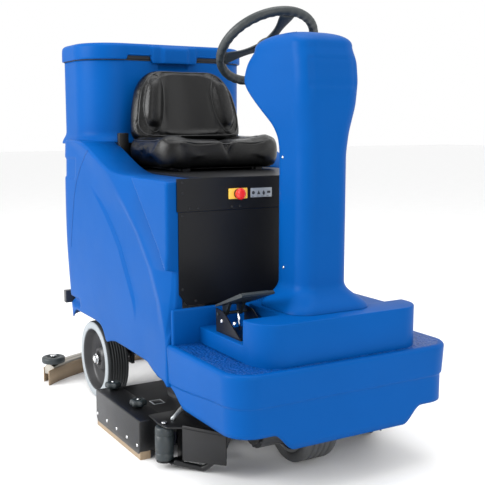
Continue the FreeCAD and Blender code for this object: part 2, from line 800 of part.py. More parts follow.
def access_panel():
    """Lower panel over the battery bay, with cut corners at the bottom."""
    top = panel_split - 1.5
    cut = 27.0
    outline = [(-panel_right, top), (panel_left, top), (panel_left, panel_bottom + 37),
               (panel_left - cut, panel_bottom), (cut - panel_right, panel_bottom),
               (-panel_right, panel_bottom + 37)]
    points = [Vector(x, along(panel_front), z) for x, z in outline]
    return Part.Face(Part.makePolygon(points + points[:1])).extrude(Vector(0, 4, 0))


def estop_base():
    """Yellow plate behind the emergency stop."""
    plate = box(estop_x - 34, estop_x + 34, panel_front - 4, panel_front - 2, estop_z - 17, estop_z + 17)
    collar = ring(14, 8 + running_gap, (estop_x, panel_front - 10, estop_z),
                  (estop_x, panel_front - 4, estop_z))
    return joined([plate, collar]).cut(rod(8 + running_gap, (estop_x, panel_front - 20, estop_z),
                                           (estop_x, panel_front + 10, estop_z)))


def estop_button():
    """Red mushroom button on its stem."""
    cap = rod(17, (estop_x, panel_front - 32, estop_z), (estop_x, panel_front - 18, estop_z))
    cap = cap.makeFillet(5, [e for e in cap.Edges if e.BoundBox.YMax < along(panel_front - 31)])
    stem = rod(8, (estop_x, panel_front - 19, estop_z), (estop_x, body_front + 18, estop_z))
    return joined([cap, stem])


def indicator_plate():
    """Light plate with the indicator symbols."""
    x0 = estop_x + 48
    return box(x0, x0 + 80, panel_front - 4, panel_front - 2, estop_z - 15, estop_z + 15)


def panel_screws():
    """Screws along the lower edge of the upper panel."""
    screws = []
    for x in (-320, -290, -170, -140, 140, 170):
        z = panel_split + 9
        screws.append(rod(4, (x, panel_front - 4, z), (x, panel_front - 2, z)))
    return Part.makeCompound(screws)


# ---- pedal -----------------------------------------------------------------------------------
pedal_left = -172.0
pedal_right = -276.0
pedal_pivot = (322.0, 496.0)


def pedal_bracket():
    """Two side plates on the footwell floor and a base plate."""
    outline = [(335, footwell_height), (185, footwell_height), (205, footwell_height + 14),
               (290, 508), (338, 512)]
    plates = [side_prism(outline, x, x + 4) for x in (pedal_right, pedal_left - 4)]
    base = box(pedal_right, pedal_left, 190, 335, footwell_height, footwell_height + 4)
    bracket = joined(plates + [base])
    return bracket.cut(rod(5 + running_gap, (pedal_right - 5,) + pedal_pivot,
                           (pedal_left + 5,) + pedal_pivot))


def accelerator_pedal():
    """Foot pad on its pivot pin, with the lever arm below it."""
    pad = side_prism([(334, 517), (332, 524), (180, 584), (170, 580), (172, 574)],
                     pedal_right - 4, pedal_left + 4)
    pin = rod(5, (pedal_right - 3,) + pedal_pivot, (pedal_left + 3,) + pedal_pivot)
    hanger = side_prism([(330, 490), (313, 490), (290, 533), (333, 520)],
                        pedal_right + 20, pedal_right + 30)
    return joined([pad, pin, hanger, hanger.translated(Vector(50, 0, 0))])


# ---- scrub deck ------------------------------------------------------------------------------
deck_lug_station = lift_pivot[0] + lift_vector[0]
deck_lug_height = lift_pivot[1] + lift_vector[1]


def deck_plate():
    """Deck plate with its lips and the lugs of the lifting arms."""
    z0 = deck_plate_top - deck_plate_thickness
    plate = box(-430, 430, 515, 885, z0, deck_plate_top)
    lips = [box(-370, 370, 515, 521, 70, deck_plate_top), box(-370, 370, 879, 885, 70, deck_plate_top)]
    lugs = []
    for x in (-67, -43, 43, 67):
        lugs.append(box(x - 3, x + 3, deck_lug_station - 14, deck_lug_station + 14,
                        deck_plate_top, deck_lug_height + link_rise + 14))
    deck = joined([plate] + lips + lugs)
    cuts = [rod(lift_pin_radius + running_gap, (-80, deck_lug_station, deck_lug_height + rise),
                (80, deck_lug_station, deck_lug_height + rise)) for rise in (0, link_rise)]
    for side in (-1, 1):
        centre = (side * brush_spacing / 2, brush_station)
        cuts.append(rod(14, centre + (0,), centre + (deck_plate_top + 1,)))
    for x in (-knob_x, knob_x):
        for s in knob_stations:
            cuts.append(rod(5 + running_gap, (x, s, 0), (x, s, 200)))
    return solids_of(deck.cut(Part.makeCompound(cuts)))


def lift_bars(rise, thickness):
    """Two parallel bars between the frame's lugs and the deck's lugs, with their pins."""
    station, height = lift_pivot
    top = (station, height + rise)
    low = (deck_lug_station, deck_lug_height + rise)
    run, drop = lift_vector
    length = math.hypot(run, drop)
    side_s, side_z = -drop / length * thickness / 2, run / length * thickness / 2
    outline = [(top[0] + side_s, top[1] + side_z), (low[0] + side_s, low[1] + side_z),
               (low[0] - side_s, low[1] - side_z), (top[0] - side_s, top[1] - side_z)]
    pieces = []
    for x in (-55, 55):
        pieces.append(side_prism(outline, x - 8, x + 8))
        for end in (top, low):
            pieces.append(rod(thickness / 2, (x - 8,) + end, (x + 8,) + end))
            pieces.append(rod(lift_pin_radius, (x - 17,) + end, (x + 17,) + end))
    middle = ((top[0] + low[0]) / 2, (top[1] + low[1]) / 2)
    pieces.append(rod(8, (-50,) + middle, (50,) + middle))
    return joined(pieces)


def brush_motors():
    """The two brush motors on the deck, with their drive shafts."""
    motors = []
    for side in (-1, 1):
        c = (side * brush_spacing / 2, brush_station)
        motors.append(joined([rod(80, c + (deck_plate_top,), c + (deck_plate_top + 12,)),
                              rod(62, c + (deck_plate_top,), c + (deck_plate_top + 140,)),
                              rod(40, c + (deck_plate_top,), c + (deck_plate_top + 152,)),
                              rod(12, c + (62,), c + (deck_plate_top + 1,))]))
    return Part.makeCompound(motors)


def scrub_brush():
    """Right disc brush: drive plate and bristle ring."""
    c = (-brush_spacing / 2, brush_station)
    plate = rod(brush_radius - 8, c + (62,), c + (78,))
    boss = rod(30, c + (62,), c + (96,))
    bristles = ring(brush_radius, 55, c + (0,), c + (62,))
    bore = rod(12 + running_gap, c + (50,), c + (120,))
    return joined([plate, boss, bristles]).cut(bore)


def side_box():
    """Right side box that carries the splash blade, hung on the deck plate."""
    x0, x1 = -side_box_outer, -372
    top = box(x0, x1, side_box_front, side_box_rear, deck_plate_top, deck_plate_top + 3)
    face = box(x0, x0 + 3, side_box_front, side_box_rear, side_box_bottom, deck_plate_top + 3)
    front = box(x0, x0 + 40, side_box_front, side_box_front + 3, side_box_bottom, deck_plate_top)
    rear = box(x0, x0 + 40, side_box_rear - 3, side_box_rear, side_box_bottom, deck_plate_top)
    body = joined([top, face, front, rear])
    for s in knob_stations:
        body = body.cut(rod(5 + running_gap, (-knob_x, s, 100), (-knob_x, s, 160)))
    return body


def side_screws():
    """Screws that hold the splash blades to both side boxes."""
    screws = []
    for s in (880, 790, 700, 610, 525):
        screw = rod(6, (-side_box_outer - 3, s, 46), (-side_box_outer, s, 46))
        screws += [screw, mirrored(screw)]
    return Part.makeCompound(screws)


def deck_blades():
    """Gum splash blades inside the faces of both side boxes."""
    x0 = -side_box_outer + 3
    side = box(x0, x0 + gum_thickness, side_box_front + 3, side_box_rear - 3, 0, 60)
    front = box(x0 + gum_thickness, x0 + 36, side_box_front + 3, side_box_front + 3 + gum_thickness, 0, 60)
    return both_sides(joined([side, front]))


def deck_knob(station):
    """Right lobed knob that clamps the side box, with its stud."""
    x, z0 = -knob_x, deck_plate_top + 3
    pieces = [rod(knob_radius - 6, (x, station, z0), (x, station, z0 + knob_height)),
              rod(5, (x, station, z0 - 14), (x, station, z0 + 2))]
    for k in range(5):
        a = math.radians(72 * k)
        px, ps = x + (knob_radius - 7) * math.cos(a), station + (knob_radius - 7) * math.sin(a)
        pieces.append(rod(7, (px, ps, z0 + 8), (px, ps, z0 + knob_height)))
    return joined(pieces)


guard_roller = (-417.0, 420.0)


def deck_guard():
    """Right front guard of the deck: arm, deflector plate and bent bar."""
    rx, rs = guard_roller
    nose = (-300.0, 232.0)
    plate = plan_prism([(rx + 34, rs - 60), nose, (nose[0] + 5, nose[1] + 4), (rx + 39, rs - 56)], 40, 150)
    arm = plan_prism([(rx - 14, rs - 14), (rx + 34, rs - 62), nose, (nose[0] + 40, nose[1] + 10),
                      (-330, 522), (rx - 8, 522), (rx - 14, rs + 20)], 136, 142)
    ear = plan_prism([(rx - 14, rs - 14), (rx + 34, rs - 62), (-330, 400), (rx - 14, rs + 20)], 22, 26)
    post = box(-372, -366, 380, 421, 22, 142)
    leg = box(-371, -340, 515, 522, deck_plate_top, 142)
    bar_points = [(-375, 372, 30), (-336, 336, 14), (-302, 238, 120), (-302, 238, 142)]
    bars = [bent_bar(8, bar_points)]
    pin = rod(6, (rx, rs, 22), (rx, rs, 142))
    return joined([plate, arm, ear, post, leg, pin] + bars)


def guard_roller_solid():
    """Right guard roller on its upright pin."""
    rx, rs = guard_roller
    roller = ring(30, 6 + running_gap, (rx, rs, 26.5), (rx, rs, 135.5))
    return roller.makeFillet(5, [e for e in roller.Edges if e.BoundBox.XLength > 50
                                 and e.BoundBox.ZLength < 1])


# ---- squeegee --------------------------------------------------------------------------------
squeegee_centre = overall_length - squeegee_radius   # station of the centre of the arcs
squeegee_port_station = overall_length - squeegee_port_back


def arc_band(outer, inner, z0, z1, half):
    """Band between two plan arcs about the squeegee's centre, cut off at x = +/- half."""
    band = ring(outer, inner, (0, squeegee_centre, z0), (0, squeegee_centre, z1))
    keep = box(-half, half, squeegee_centre + 300, overall_length + 50, z0 - 1, z1 + 1)
    return band.common(keep)


def squeegee_body():
    """Curved metal head between the two blades."""
    z0, z1 = squeegee_head_bottom, squeegee_head_top
    outer = squeegee_radius - gum_thickness
    head = arc_band(outer, outer - squeegee_head_depth, z0, z1, squeegee_tip_half)
    where = (0, squeegee_port_station)
    shoulder = z1 + squeegee_port_foot
    port = rod(squeegee_port_collar, where + (z1 - 2,), where + (shoulder,))
    port = port.fuse(rod(hose_port_radius, where + (shoulder - 1,), where + (shoulder + hose_port_length,)))
    port = port.cut(rod(hose_port_radius - hose_port_wall, where + (z1 - 3,),
                        where + (shoulder + hose_port_length + 1,)))
    top = z1 + 1 + bumper_wheel_height
    pins = []
    for x in (-bumper_wheel_x, bumper_wheel_x):
        pins.append(rod(7, (x, bumper_wheel_station, z1), (x, bumper_wheel_station, top + 5)))
        pins.append(rod(14, (x, bumper_wheel_station, top), (x, bumper_wheel_station, top + 6)))
    return joined([head, port] + pins)


def squeegee_blades():
    """Front and rear gum blades."""
    rear = arc_band(squeegee_radius, squeegee_radius - gum_thickness, 0, blade_height, squeegee_tip_half)
    inner = squeegee_radius - gum_thickness - squeegee_head_depth
    front = arc_band(inner, inner - gum_thickness, 0, blade_height, squeegee_tip_half)
    return Part.makeCompound(rear.Solids + front.Solids)


def squeegee_arm():
    """Arm from the frame's rear lugs to the squeegee head."""
    s, z = squeegee_pivot
    z0, z1 = arm_plate_bottom, arm_plate_bottom + arm_plate_thickness
    bars = []
    for x in (-52, 52):
        bars.append(side_prism([(s - 8, z - 12), (s - 8, z + 10), (s + 12, z + 12),
                                (arm_plate_front + 8, z1 + 14), (arm_plate_rear + 2, z1 + 14),
                                (arm_plate_rear + 2, z1), (arm_plate_front - 2, z1)], x - 5, x + 5))
    plate = box(-110, 110, arm_plate_front, arm_plate_rear, z0, z1)
    feet = [box(x - 8, x + 8, arm_plate_front, arm_plate_rear - 6, squeegee_head_top, z0)
            for x in (-90, 90)]
    pin = rod(lift_pin_radius, (-74, s, z), (74, s, z))
    arm = joined(bars + feet + [plate, pin])
    port = (0, squeegee_port_station)
    return arm.cut(rod(squeegee_port_collar + free_gap, port + (70,), port + (140,)))


def bumper_wheel():
    """Right bumper wheel on the squeegee's end."""
    x, s = -bumper_wheel_x, bumper_wheel_station
    z0 = squeegee_head_top + 0.5
    wheel = ring(bumper_wheel_radius, 7 + running_gap, (x, s, z0), (x, s, z0 + bumper_wheel_height))
    return wheel.makeFillet(6, [e for e in wheel.Edges if e.BoundBox.XLength > 80
                                and e.BoundBox.ZLength < 1])


# ---- every sub-part by name ------------------------------------------------------------------
nodes = {
    "main_frame": main_frame(),
    "body_shell": body_shell(),
    "nose_cowl": nose_cowl(),
    "column_cover": column_cover(),
    "column_back_cover": column_back_cover(),
    "steering_mast": steering_mast(),
    "steering_chain": steering_chain(),
    "recovery_tank": recovery_tank(),
    "lid_gasket": lid_gasket(),
    "lid_hinges": lid_hinges(),
    "tank_lid": tank_lid(),
    "control_strip": control_strip(),
    "access_panel": access_panel(),
    "estop_base": estop_base(),
    "estop_button": estop_button(),
    "indicator_plate": indicator_plate(),
    "panel_screws": panel_screws(),
    "battery_pack": battery_pack(),
    "vacuum_motor": vacuum_motor(),
    "rear_axle": rear_axle(),
    "seat_plate": seat_plate(),
    "seat_pan": seat_pan(),
    "seat_cushion": seat_cushion(),
    "seat_backrest": seat_backrest(),
    "steering_wheel": steering_wheel(),
    "steering_shaft": steering_shaft(),
    "upright_shaft": upright_shaft(),
    "steer_fork": steer_fork(),
    "drive_motor": drive_motor(),
    "front_tyre": front_tyre(),
    "front_hub": front_hub(),
    "pedal_bracket": pedal_bracket(),
    "accelerator_pedal": accelerator_pedal(),
    "deck_plate": deck_plate(),
    "lift_arms": lift_bars(0, 24),
    "lift_links": lift_bars(link_rise, 18),
    "brush_motors": brush_motors(),
    "side_screws": side_screws(),
    "deck_blades": deck_blades(),
    "squeegee_arm": squeegee_arm(),
    "squeegee_body": squeegee_body(),
    "squeegee_blades": squeegee_blades(),
}
paired = {
    "rear_tyre": rear_tyre(),
    "rear_hub": rear_hub(),
    "scrub_brush": scrub_brush(),
    "side_box": side_box(),
    "deck_guard": deck_guard(),
    "guard_roller": guard_roller_solid(),
    "front_knob": deck_knob(knob_stations[0]),
    "rear_knob": deck_knob(knob_stations[1]),
    "bumper_wheel": bumper_wheel(),
}
for name, shape in paired.items():
    nodes[name + "_right"] = shape
    nodes[name + "_left"] = mirrored(shape)

os.makedirs("parts", exist_ok=True)
for name, shape in nodes.items():
    shape.exportStep("parts/" + name + ".step")
    print(name, len(shape.Solids), shape.isValid(), round(shape.Volume / 1000.0), "cm3")
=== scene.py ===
"""Ride-on floor scrubber: the looks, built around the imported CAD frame.

Metres. +Z is up, the nose points to -Y, and +X is the operator's left. A station is a distance behind
the nose, as in the CAD source, and along() turns it into Y.
"""
import math

import bmesh
import bpy
import numpy as np
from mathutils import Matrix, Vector
from mathutils.bvhtree import BVHTree


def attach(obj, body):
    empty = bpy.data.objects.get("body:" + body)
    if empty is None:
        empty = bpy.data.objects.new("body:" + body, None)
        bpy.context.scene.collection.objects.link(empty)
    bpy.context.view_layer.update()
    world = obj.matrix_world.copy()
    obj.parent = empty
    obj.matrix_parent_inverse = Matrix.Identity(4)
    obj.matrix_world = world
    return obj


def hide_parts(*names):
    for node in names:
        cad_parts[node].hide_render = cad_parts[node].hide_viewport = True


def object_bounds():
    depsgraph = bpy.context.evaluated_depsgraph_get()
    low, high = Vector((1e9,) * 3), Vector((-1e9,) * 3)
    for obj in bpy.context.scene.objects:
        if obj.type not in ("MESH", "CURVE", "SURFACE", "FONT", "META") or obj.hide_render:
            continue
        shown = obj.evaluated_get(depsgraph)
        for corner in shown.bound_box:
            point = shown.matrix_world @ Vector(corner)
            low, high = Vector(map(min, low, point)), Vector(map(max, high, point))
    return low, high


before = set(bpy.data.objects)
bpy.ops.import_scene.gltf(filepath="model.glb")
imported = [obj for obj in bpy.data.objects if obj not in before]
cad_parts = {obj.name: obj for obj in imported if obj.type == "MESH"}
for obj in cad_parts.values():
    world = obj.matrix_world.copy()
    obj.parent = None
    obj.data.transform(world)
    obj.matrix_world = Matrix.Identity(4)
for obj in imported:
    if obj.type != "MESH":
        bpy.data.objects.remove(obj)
cad_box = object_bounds()

# ---- Studio ------------------------------------------------------------------------------------
# Pale floor, soft square lights and a camera at standing height off the right front corner. The key
# light is on the operator's right, so that side of the blue mouldings is the bright one.
nose_y = cad_box[0][1]


def along(station):
    """Y of a point that lies a station behind the nose."""
    return nose_y + station


camera_data = bpy.data.cameras.new("camera")
camera_data.lens = 63.61
camera_data.sensor_width = 36.0
camera = bpy.data.objects.new("camera", camera_data)
camera.location = (-1.500, along(-1.933), 1.073)
camera.rotation_euler = (math.radians(90 - 7.913), 0, math.radians(-30.147))
bpy.context.collection.objects.link(camera)
bpy.context.scene.camera = camera


def area_light(name, place, target, size, power):
    """Square soft light at place, turned to face target."""
    data = bpy.data.lights.new(name, "AREA")
    data.size = size
    data.energy = power
    lamp = bpy.data.objects.new(name, data)
    lamp.location = place
    back = np.array(place, float) - np.array(target, float)
    back /= np.linalg.norm(back)
    lamp.rotation_euler = (math.acos(back[2]), 0, math.atan2(back[0], -back[1]))
    bpy.context.collection.objects.link(lamp)


area_light("key", (-4.4, 0.9, 2.6), (0, 0, 0.6), 2.8, 235)
area_light("front", (-0.6, -5.0, 2.4), (0, 0, 0.6), 2.6, 60)
area_light("left", (3.8, -2.4, 2.6), (0, 0, 0.7), 2.6, 30)
area_light("top", (0.2, -0.4, 4.4), (0, 0, 0.5), 3.2, 90)

world = bpy.data.worlds.new("studio")
world.use_nodes = True
world.node_tree.nodes["Background"].inputs["Color"].default_value = (1, 1, 1, 1)
world.node_tree.nodes["Background"].inputs["Strength"].default_value = 1.0
bpy.context.scene.world = world
bpy.context.scene.view_settings.view_transform = "Standard"


def finish(name, colour, roughness, metallic=0.0, drift=0.10, drift_scale=6.0, grain="noise",
           grain_scale=400.0, grain_depth=0.0003, coat=0.0, smudge=0.06, specular=0.5):
    """Node material on Object coordinates: a base colour that drifts between two tints by slow noise,
    a roughness smudged by finer noise, and a raised grain of fine noise or rounded cells."""
    made = bpy.data.materials.new(name)
    made.use_nodes = True
    nodes, links = made.node_tree.nodes, made.node_tree.links
    shader = nodes["Principled BSDF"]
    shader.inputs["Metallic"].default_value = metallic
    shader.inputs["Coat Weight"].default_value = coat
    shader.inputs["Coat Roughness"].default_value = 0.12
    shader.inputs["Specular IOR Level"].default_value = specular
    place = nodes.new("ShaderNodeTexCoord")
    slow = nodes.new("ShaderNodeTexNoise")
    slow.inputs["Scale"].default_value = drift_scale
    slow.inputs["Detail"].default_value = 3.0
    links.new(place.outputs["Object"], slow.inputs["Vector"])
    tint = nodes.new("ShaderNodeValToRGB")
    tint.color_ramp.elements[0].position = 0.3
    tint.color_ramp.elements[1].position = 0.7
    tint.color_ramp.elements[0].color = (*[c * (1 - drift) for c in colour], 1)
    tint.color_ramp.elements[1].color = (*[min(1.0, c * (1 + drift)) for c in colour], 1)
    links.new(slow.outputs["Fac"], tint.inputs["Fac"])
    links.new(tint.outputs["Color"], shader.inputs["Base Color"])
    rub = nodes.new("ShaderNodeTexNoise")
    rub.inputs["Scale"].default_value = 14.0
    rub.inputs["Detail"].default_value = 6.0
    links.new(place.outputs["Object"], rub.inputs["Vector"])
    spread = nodes.new("ShaderNodeMapRange")
    spread.inputs["To Min"].default_value = max(0.02, roughness - smudge)
    spread.inputs["To Max"].default_value = min(1.0, roughness + smudge)
    links.new(rub.outputs["Fac"], spread.inputs["Value"])
    links.new(spread.outputs["Result"], shader.inputs["Roughness"])
    if grain == "cells":
        texture = nodes.new("ShaderNodeTexVoronoi")
        height = texture.outputs["Distance"]
    else:
        texture = nodes.new("ShaderNodeTexNoise")
        texture.inputs["Detail"].default_value = 4.0
        height = texture.outputs["Fac"]
    texture.inputs["Scale"].default_value = grain_scale
    links.new(place.outputs["Object"], texture.inputs["Vector"])
    bump = nodes.new("ShaderNodeBump")
    bump.inputs["Distance"].default_value = grain_depth
    links.new(height, bump.inputs["Height"])
    links.new(bump.outputs["Normal"], shader.inputs["Normal"])
    return made


def mesh_piece(name, points, faces, materials, smooth=True):
    """New object at the origin from arrays of points and faces, with its materials in slot order."""
    mesh = bpy.data.meshes.new(name)
    mesh.from_pydata(np.asarray(points, float).reshape(-1, 3).tolist(), [], faces)
    mesh.polygons.foreach_set("use_smooth", np.full(len(mesh.polygons), smooth))
    for made in materials:
        mesh.materials.append(made)
    obj = bpy.data.objects.new(name, mesh)
    bpy.context.collection.objects.link(obj)
    return obj


floor = mesh_piece("floor", [(-30, -30, 0), (30, -30, 0), (30, 30, 0), (-30, 30, 0)], [(0, 1, 2, 3)],
                   [finish("pale_floor", (0.93, 0.93, 0.93), 0.55, drift=0.01, grain_depth=0.0)])


# ---- Nose moulding -----------------------------------------------------------------------------
# The front of the machine: one hollow polyethylene moulding, blue all through, with a bumper band over
# a set-in skirt, a pebbled step and a plinth with a well for the right foot. It is screwed to the frame.
body_front = 0.430
nose_half = 0.400
step_height = 0.390
crease_height = 0.290
plinth_half = 0.295
plinth_front = 0.030
plinth_height = 0.516
well_height = 0.440
well_front = 0.143
well_inner = 0.160
nose_wall = 0.005
moulded_blue = finish("moulded_blue", (0.0, 0.070, 0.288), 0.42, drift=0.05, drift_scale=3.0,
                      grain_scale=190.0, grain_depth=0.00012, specular=0.06)
step_blue = finish("step_blue", (0.0, 0.056, 0.252), 0.36, drift=0.10, drift_scale=40.0,
                   grain="cells", grain_scale=115.0, grain_depth=0.0060, specular=0.22)


def ease(value):
    """Smooth step from 0 to 1."""
    value = np.clip(value, 0, 1)
    return value * value * (3 - 2 * value)


def outline(half, front, rear, front_radius, rear_radius, sides, corner, ends):
    """Rounded rectangle in plan: down the right side to the front, across, back up the left side and
    across the rear. Straight stretches are even steps and corners are quarter circles. Returns X and
    station as arrays."""
    fr, rr = max(front_radius, 1e-4), max(rear_radius, 1e-4)
    step = np.linspace(0, 1, sides, endpoint=False)
    turn = np.linspace(0, math.pi / 2, corner, endpoint=False)
    across = np.linspace(0, 1, ends, endpoint=False)
    sin, cos = np.sin(turn), np.cos(turn)
    length = rear - rr - front - fr
    x = [np.full(sides, -half), -half + fr - fr * cos, -half + fr + 2 * (half - fr) * across,
         half - fr + fr * sin, np.full(sides, half), half - rr + rr * cos,
         half - rr - 2 * (half - rr) * across, -half + rr - rr * sin]
    s = [rear - rr - length * step, front + fr - fr * sin, np.full(ends, front),
         front + fr - fr * cos, front + fr + length * step, rear - rr + rr * sin,
         np.full(ends, rear), rear - rr + rr * cos]
    return np.concatenate(x), np.concatenate(s)


def grid_faces(count, width, closed=False, offset=0):
    """Quads between neighbouring rows of a grid of points. Rows go up and points go anticlockwise seen
    from above, so the faces point outwards."""
    row, col = np.meshgrid(np.arange(count - 1), np.arange(width if closed else width - 1), indexing="ij")
    after = (col + 1) % width
    quads = np.stack([row * width + col, row * width + after, (row + 1) * width + after,
                      (row + 1) * width + col], -1)
    return (quads.reshape(-1, 4) + offset).tolist()


def capped_faces(count, width, offset=0):
    """Faces of a closed grid of rows with a face over each end."""
    last = offset + (count - 1) * width
    return (grid_faces(count, width, True, offset) + [list(range(offset, offset + width))[::-1]]
            + [list(range(last, last + width))])


def nose_edge(x, s):
    """Height of the lower edge: level, lower at the lip in the middle, higher towards the body."""
    lip = ease((0.270 - np.abs(x)) / 0.070) * ease((0.16 - s) / 0.08)
    return 0.207 - 0.052 * lip + 0.046 * ease((s - 0.33) / 0.10)


def nose_crease(s):
    """Height of the crease under the bumper band, which sinks a little towards the body."""
    return crease_height - 0.028 * ease((s - 0.06) / 0.36)


nose_counts = (46, 20, 80)
nose_open = nose_counts[0] * 2 + nose_counts[1] * 2 + nose_counts[2] + 1


def nose_row(inset, height, radius=0.090):
    """Open row of the nose at an inset, from the body's front on the right to that on the left."""
    x, s = outline(nose_half - inset, inset, body_front, max(radius - inset, 0.02), 0.0, *nose_counts)
    x, s = x[:nose_open], s[:nose_open]
    z = height(x, s) + 0 * x
    return np.stack([x, along(s), z], -1)


rows = []
for t in np.linspace(0, 1, 8):
    rows.append(nose_row(0.0105, lambda x, s: nose_edge(x, s) * (1 - t) + (nose_crease(s) - 0.004) * t))
for inset, rise in ((0.0102, 0.0), (0.0080, 0.0030), (0.0058, 0.0050), (0.0050, 0.0085)):
    rows.append(nose_row(inset, lambda x, s: nose_crease(s) + rise))
for t in np.linspace(0.12, 1, 8):
    rows.append(nose_row(0.0050 * (1 - t), lambda x, s: nose_crease(s) * (1 - t) + 0.0085 * (1 - t)
                         + (step_height - 0.012) * t))
for a in np.radians((15, 30, 45, 60, 75, 90)):
    rows.append(nose_row(0.012 * (1 - math.cos(a)), lambda x, s: step_height - 0.012 * (1 - math.sin(a))))
for t in np.linspace(0.05, 1, 6):
    rows.append(nose_row(0.012 + t * 0.098, lambda x, s: step_height, radius=0.090 + t * 0.080))
nose_rows = np.array(rows)
nose_moulding = mesh_piece("nose_moulding", nose_rows, grid_faces(len(rows), nose_open),
                           [moulded_blue, step_blue])
flat = np.zeros(len(nose_moulding.data.polygons), int)
flat[-5 * (nose_open - 1):] = 1
nose_moulding.data.polygons.foreach_set("material_index", flat)


def give_wall(piece, wall):
    """Wall of a hollow moulding, grown inwards from its outer face."""
    solid = piece.modifiers.new("wall", "SOLIDIFY")
    solid.thickness = wall
    solid.offset = -1.0


def round_edges(piece, width, segments=3, angle=35):
    """Rounded edges wherever two faces meet at more than an angle."""
    bevel = piece.modifiers.new("edges", "BEVEL")
    bevel.width = width
    bevel.segments = segments
    bevel.limit_method = "ANGLE"
    bevel.angle_limit = math.radians(angle)
    bevel.harden_normals = False


def edit_mesh(piece, change):
    """Carry out one change on a piece's mesh, given as a function of its bmesh."""
    bm = bmesh.new()
    bm.from_mesh(piece.data)
    change(bm)
    bm.to_mesh(piece.data)
    bm.free()


def drop_loose_points(bm):
    """Delete the points that no face uses."""
    bmesh.ops.delete(bm, geom=[v for v in bm.verts if not v.link_faces], context="VERTS")


def fit(piece, body, slot, *stands_for):
    """Let a piece ride on a body of the frame and stand for the frame's own plain parts where some are
    given. The slot is not used."""
    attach(piece, body)
    if stands_for:
        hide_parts(*stands_for)


give_wall(nose_moulding, nose_wall)
fit(nose_moulding, "chassis", "body_blue", "nose_cowl")

# The plinth is a prism of one plan with a well cut out of each rear corner: the wall beside a well
# stops at the well's floor, and the rest goes up to the top.
left_well_inner = 0.225
px, ps = outline(plinth_half, plinth_front, body_front, 0.085, 0.0, 40, 20, 40)
px, ps = px[:161], ps[:161]
a, b, n = int(np.argmin(np.abs(ps[:40] - well_front))), 0, len(px)
b = n - 1 - a
ps[[a, b]] = well_front
low = np.stack([px, along(ps), np.full(n, step_height - 0.004)], -1)
shelf = low * (1, 1, 0) + (0, 0, well_height)
top = low * (1, 1, 0) + (0, 0, plinth_height)
posts = [(x, along(s), z) for x in (-well_inner, left_well_inner) for s in (well_front, body_front)
         for z in (well_height, plinth_height)]
front_r, front_r_top, rear_r, rear_r_top, front_l, front_l_top, rear_l, rear_l_top = range(3 * n, 3 * n + 8)
faces = [[k, k + 1, n + k + 1, n + k] for k in [*range(a), *range(b, n - 1)]]
faces += [[k, k + 1, 2 * n + k + 1, 2 * n + k] for k in range(a + 1, b - 1)]
faces.append([a, a + 1, 2 * n + a + 1, 2 * n + a, n + a])
faces.append([b - 1, b, n + b, 2 * n + b, 2 * n + b - 1])
faces.append([n + k for k in range(a + 1)] + [front_r, rear_r])
faces.append([n + k for k in range(b, n)] + [rear_l, front_l])
faces.append([n + a, 2 * n + a, front_r_top, front_r])
faces.append([front_l, front_l_top, 2 * n + b, n + b])
faces.append([front_r, front_r_top, rear_r_top, rear_r])
faces.append([rear_l, rear_l_top, front_l_top, front_l])
faces.append([2 * n + k for k in range(a, b + 1)] + [front_l_top, rear_l_top, rear_r_top, front_r_top])
faces.append([n - 1, 0, n, rear_r, rear_r_top, rear_l_top, rear_l, 2 * n - 1])
faces.append(list(range(n))[::-1])
plinth_points = np.concatenate([low, shelf, top, np.array(posts)])
nose_plinth = mesh_piece("nose_plinth", plinth_points, faces, [moulded_blue])
edit_mesh(nose_plinth, drop_loose_points)
round_edges(nose_plinth, 0.011, 5, 40)
fit(nose_plinth, "chassis", "body_blue")


def block(name, low_corner, high_corner, materials, radius=0.003, segments=3):
    """Block between two corners given as (x, station, z), with rounded edges."""
    a, b = np.array(low_corner, float), np.array(high_corner, float)
    corner = np.array([(i, j, k) for k in (0, 1) for i, j in ((0, 0), (1, 0), (1, 1), (0, 1))])
    points = a + (b - a) * corner
    points[:, 1] = along(points[:, 1])
    faces = [(3, 2, 1, 0), (4, 5, 6, 7), (0, 1, 5, 4), (1, 2, 6, 5), (2, 3, 7, 6), (3, 0, 4, 7)]
    made = mesh_piece(name, points, faces, materials)
    round_edges(made, radius, segments)
    return made


nose_rim = block("nose_rear_rim", (-0.388, 0.411, 0.384), (0.218, 0.4275, 0.502), [moulded_blue], 0.007, 4)
fit(nose_rim, "chassis", "body_blue")

# Raised dots for grip along the plinth's rear edge, in staggered rows.
dot_x, dot_s = np.meshgrid(np.arange(-0.13, 0.205, 0.0085), np.arange(0.345, 0.405, 0.0080))
dot_x = dot_x + 0.0042 * (np.arange(dot_x.shape[0]) % 2)[:, None]
dot_centre = np.stack([dot_x.ravel(), along(dot_s.ravel()), np.full(dot_x.size, plinth_height)], -1)
around = np.arange(6) * math.pi / 3
dot_circle = np.stack([np.cos(around), np.sin(around), 0 * around], -1)
dot_foot = 0.0026 * dot_circle - (0, 0, 0.0003)
dot_brow = 0.0015 * dot_circle + (0, 0, 0.0010)
dot_shape = np.concatenate([dot_foot, dot_brow, [[0, 0, 0.0013]]])
dot_points = (dot_centre[:, None] + dot_shape[None]).reshape(-1, 3)
dot_faces = []
for k in range(len(dot_centre)):
    dot_faces += grid_faces(2, 6, True, k * 13)
    dot_faces += [[k * 13 + 6 + j, k * 13 + 6 + (j + 1) % 6, k * 13 + 12] for j in range(6)]
grip_dots = mesh_piece("plinth_grip_dots", dot_points, dot_faces, [moulded_blue])
fit(grip_dots, "chassis", "body_blue")


